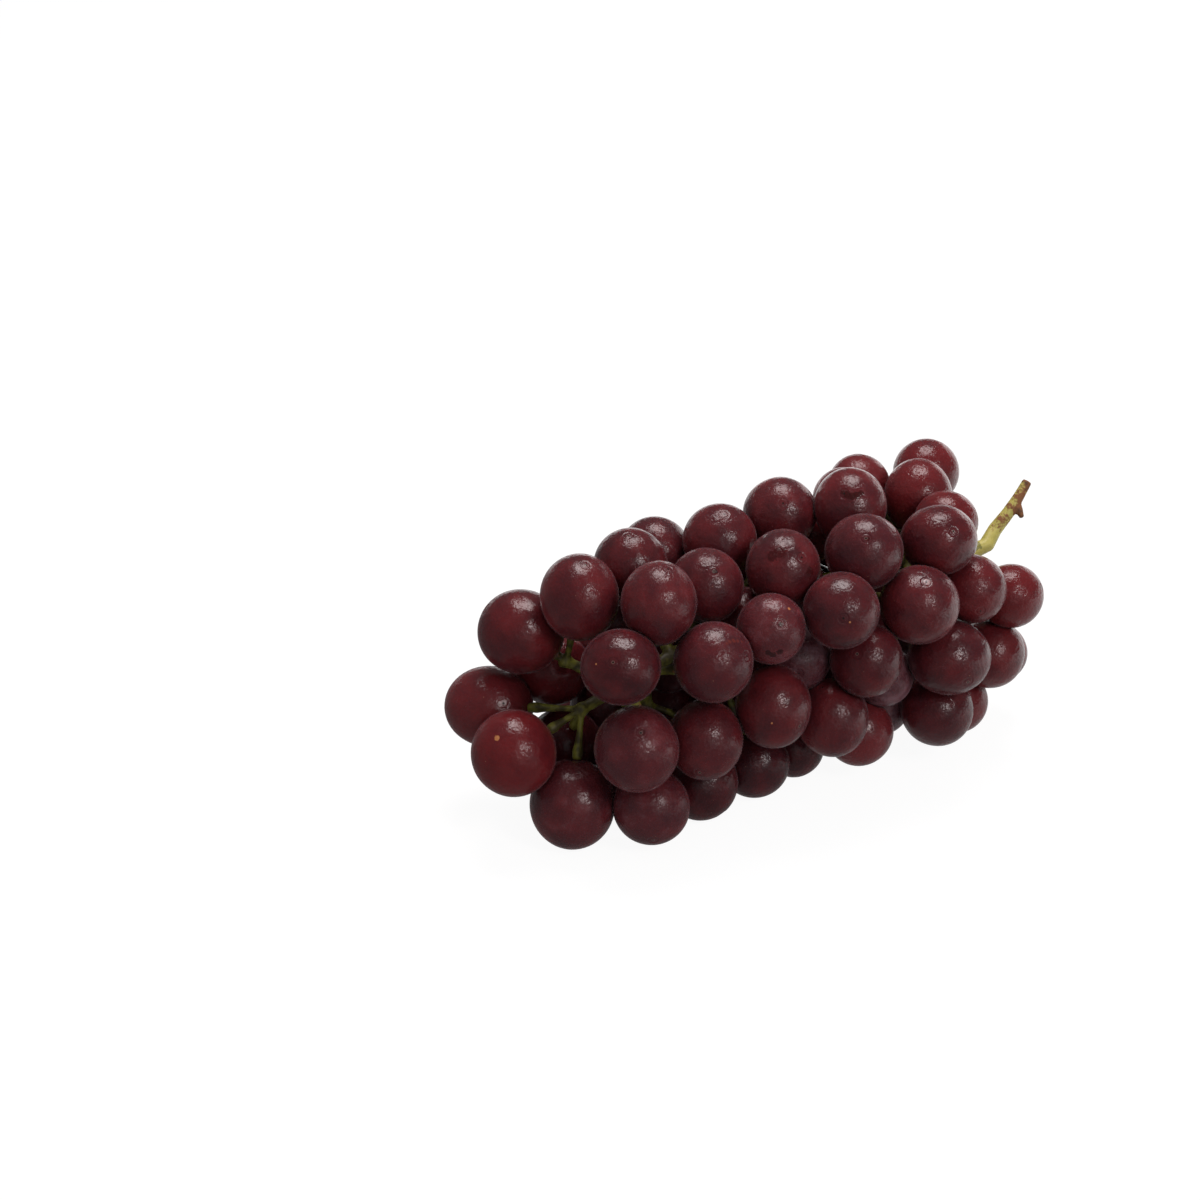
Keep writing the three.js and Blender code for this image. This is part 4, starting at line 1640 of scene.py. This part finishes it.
    def build(self) -> bpy.types.Object:
        """Builds the whole stem as one grown skin."""
        random = np.random.default_rng(LAYOUT_SEED + 1)
        tube = self._model_tube()
        parts, centres, ages, outers = [], [], [], []
        for limb in self.limbs():
            part, rings, age, outer = self._bend_tube(tube, limb, random)
            parts.append(part)
            centres.extend(rings)
            ages.extend(age)
            outers.extend(outer)
        bpy.data.objects.remove(tube)
        parts.extend(self._knob(hub) for hub in self.layout.hubs if hub.fruit)
        stem = join_pieces(parts, "stem_branches")
        apply_modifier(stem, "REMESH", mode="VOXEL", voxel_size=self.voxel * METRES)
        apply_modifier(stem, "SMOOTH", factor=0.5, iterations=self.smoothing)
        tree = KDTree(len(centres))
        for i, centre in enumerate(centres):
            tree.insert((centre - self.layout.origin) * METRES, i)
        tree.balance()
        near = [tree.find(vertex.co)[1] for vertex in stem.data.vertices]
        write_attribute(stem.data, "stem_age", np.array(ages)[near])
        write_attribute(stem.data, "stem_outer", np.array(outers)[near])
        select_only(stem)
        bpy.ops.object.shade_smooth()
        return stem

    def dress(self, stem: bpy.types.Object) -> None:
        """Gives the stem its bark and names what it replaces.

        Args:
            stem: The whole stem.
        """
        stem.data.materials.clear()
        stem.data.materials.append(StemFinish().build())
        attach(stem, "root")
        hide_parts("stem")


@dataclass(frozen=True)
class Softbox:
    """A lamp: direction and distance from the bunch, size in metres, and power."""

    name: str
    way: tuple[float, float, float]
    distance: float
    size: tuple[float, float]
    power: float
    colour: tuple[float, float, float] = (1.0, 0.91, 0.91)


@dataclass
class Studio:
    """The white floor, the lamps and the camera of the photograph."""

    layout: BunchLayout
    floor_size: float = 6.0
    floor_white: float = 0.93
    floor_fill: float = 0.44
    floor_shine: tuple[float, float] = (0.14, 1.35)
    world_fill: float = 0.41
    world_shine: float = 0.12
    aim: tuple[float, float, float] = (0.0, 0.0, 0.04)

    def _from_camera(self, right: float, up: float, back: float) -> tuple[float, float, float]:
        """A direction given along the picture's right, up and towards the camera."""
        view = self.layout.view
        way = view.right * right + view.up * up + view.back * back
        return tuple(way / np.linalg.norm(way))

    def lamps(self) -> list[Softbox]:
        """Lists the lamps."""
        return [
            Softbox("overhead_softbox", self._from_camera(0.04, 0.98, 0.19), 0.75,
                    (0.42, 0.36), 3.8),
            Softbox("camera_softbox", self._from_camera(0.47, 0.24, 0.85), 0.8,
                    (0.17, 0.19), 1.35),
            Softbox("haze_softbox", self._from_camera(0.45, 0.05, 0.85), 0.8,
                    (0.8, 0.7), 0.6),
            Softbox("rim_softbox", self._from_camera(0.6, 0.5, -0.62), 0.9,
                    (0.4, 0.25), 0.5),
        ]

    def _light(self, box: Softbox) -> None:
        """Adds one area lamp that faces the bunch.

        Args:
            box: The lamp's place, size and power.
        """
        data = bpy.data.lights.new(box.name, "AREA")
        data.shape = "RECTANGLE"
        data.size, data.size_y = box.size
        data.energy = box.power
        data.color = box.colour
        lamp = bpy.data.objects.new(box.name, data)
        lamp.visible_camera = False
        bpy.context.scene.collection.objects.link(lamp)
        way = Vector(box.way)
        lamp.location = Vector(self.aim) + way * box.distance
        lamp.rotation_euler = way.to_track_quat("Z", "Y").to_euler()

    def _floor(self) -> bpy.types.Object:
        """Adds the plain white floor."""
        deselect_all()
        bpy.ops.mesh.primitive_plane_add(size=self.floor_size)
        floor = bpy.context.active_object
        floor.name = "floor"
        material = bpy.data.materials.new("white_floor")
        material.use_nodes = True
        shader = material.node_tree.nodes["Principled BSDF"]
        sheet = NodeSheet(material.node_tree)
        direct = sheet.add("ShaderNodeLightPath", {}, "Is Camera Ray")
        mirrored = direct.node.outputs["Is Glossy Ray"]
        place = sheet.add("ShaderNodeTexCoord", {}, "Object")
        right = sheet.add("ShaderNodeSeparateXYZ", {"Vector": place}, 0)
        across = sheet.math("MULTIPLY_ADD", right.node.outputs[1], 0.25, right)
        shine = sheet.blend(sheet.step(across, -0.04, 0.24), *self.floor_shine)
        glow = sheet.blend(mirrored, self.floor_fill, shine)
        glow = sheet.blend(direct, glow, self.floor_white)
        material.node_tree.links.new(glow, shader.inputs["Emission Strength"])
        shader.inputs["Emission Color"].default_value = (1, 1, 1, 1)
        tone = sheet.mix(direct, (0, 0, 0, 1), (0.12, 0.12, 0.12, 1))
        material.node_tree.links.new(tone, shader.inputs["Base Color"])
        shader.inputs["Roughness"].default_value = 0.9
        shader.inputs["Specular IOR Level"].default_value = 0.0
        floor.data.materials.append(material)
        return floor

    def _world(self) -> None:
        """Sets a white surround that lights the bunch only softly."""
        world = bpy.data.worlds.new("studio")
        world.use_nodes = True
        sheet = NodeSheet(world.node_tree)
        background = world.node_tree.nodes["Background"]
        camera = sheet.add("ShaderNodeLightPath", {}, "Is Camera Ray")
        mirrored = camera.node.outputs["Is Glossy Ray"]
        strength = sheet.blend(mirrored, self.world_fill, self.world_shine)
        strength = sheet.blend(camera, strength, 1.0)
        world.node_tree.links.new(strength, background.inputs["Strength"])
        background.inputs["Color"].default_value = (1, 1, 1, 1)
        bpy.context.scene.world = world

    def _camera(self) -> None:
        """Sets the camera at the photograph's viewing angle."""
        view = self.layout.view
        data = bpy.data.cameras.new("photo_camera")
        data.lens, data.sensor_width = view.lens, view.sensor
        data.clip_start, data.clip_end = 0.05, 20
        camera = bpy.data.objects.new("photo_camera", data)
        bpy.context.scene.collection.objects.link(camera)
        turn = Matrix(np.column_stack([view.right, view.up, view.back]).tolist()).to_4x4()
        place = Matrix.Translation(Vector((view.eye - self.layout.origin) * METRES))
        camera.matrix_world = place @ turn
        bpy.context.scene.camera = camera

    def build(self) -> None:
        """Builds the whole studio."""
        bpy.context.scene.view_settings.view_transform = "Standard"
        self._floor()
        self._world()
        for box in self.lamps():
            self._light(box)
        self._camera()


def main() -> None:
    """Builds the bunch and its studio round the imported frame."""
    logging.basicConfig(level=logging.INFO, format="%(message)s")
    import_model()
    layout = BunchLayout()
    log.info("layout: %d berries, %d hubs", len(layout.berries), len(layout.hubs))
    cluster = BerryCluster(layout)
    pieces = cluster.build()
    cluster.dress(pieces)
    for piece in pieces:
        log.info("%s: %d faces", piece.name, len(piece.data.polygons))
    frame = StemFrame(layout, cluster)
    stem = frame.build()
    frame.dress(stem)
    log.info("%s: %d faces", stem.name, len(stem.data.polygons))
    Studio(layout).build()


if __name__ == "__main__":
    main()
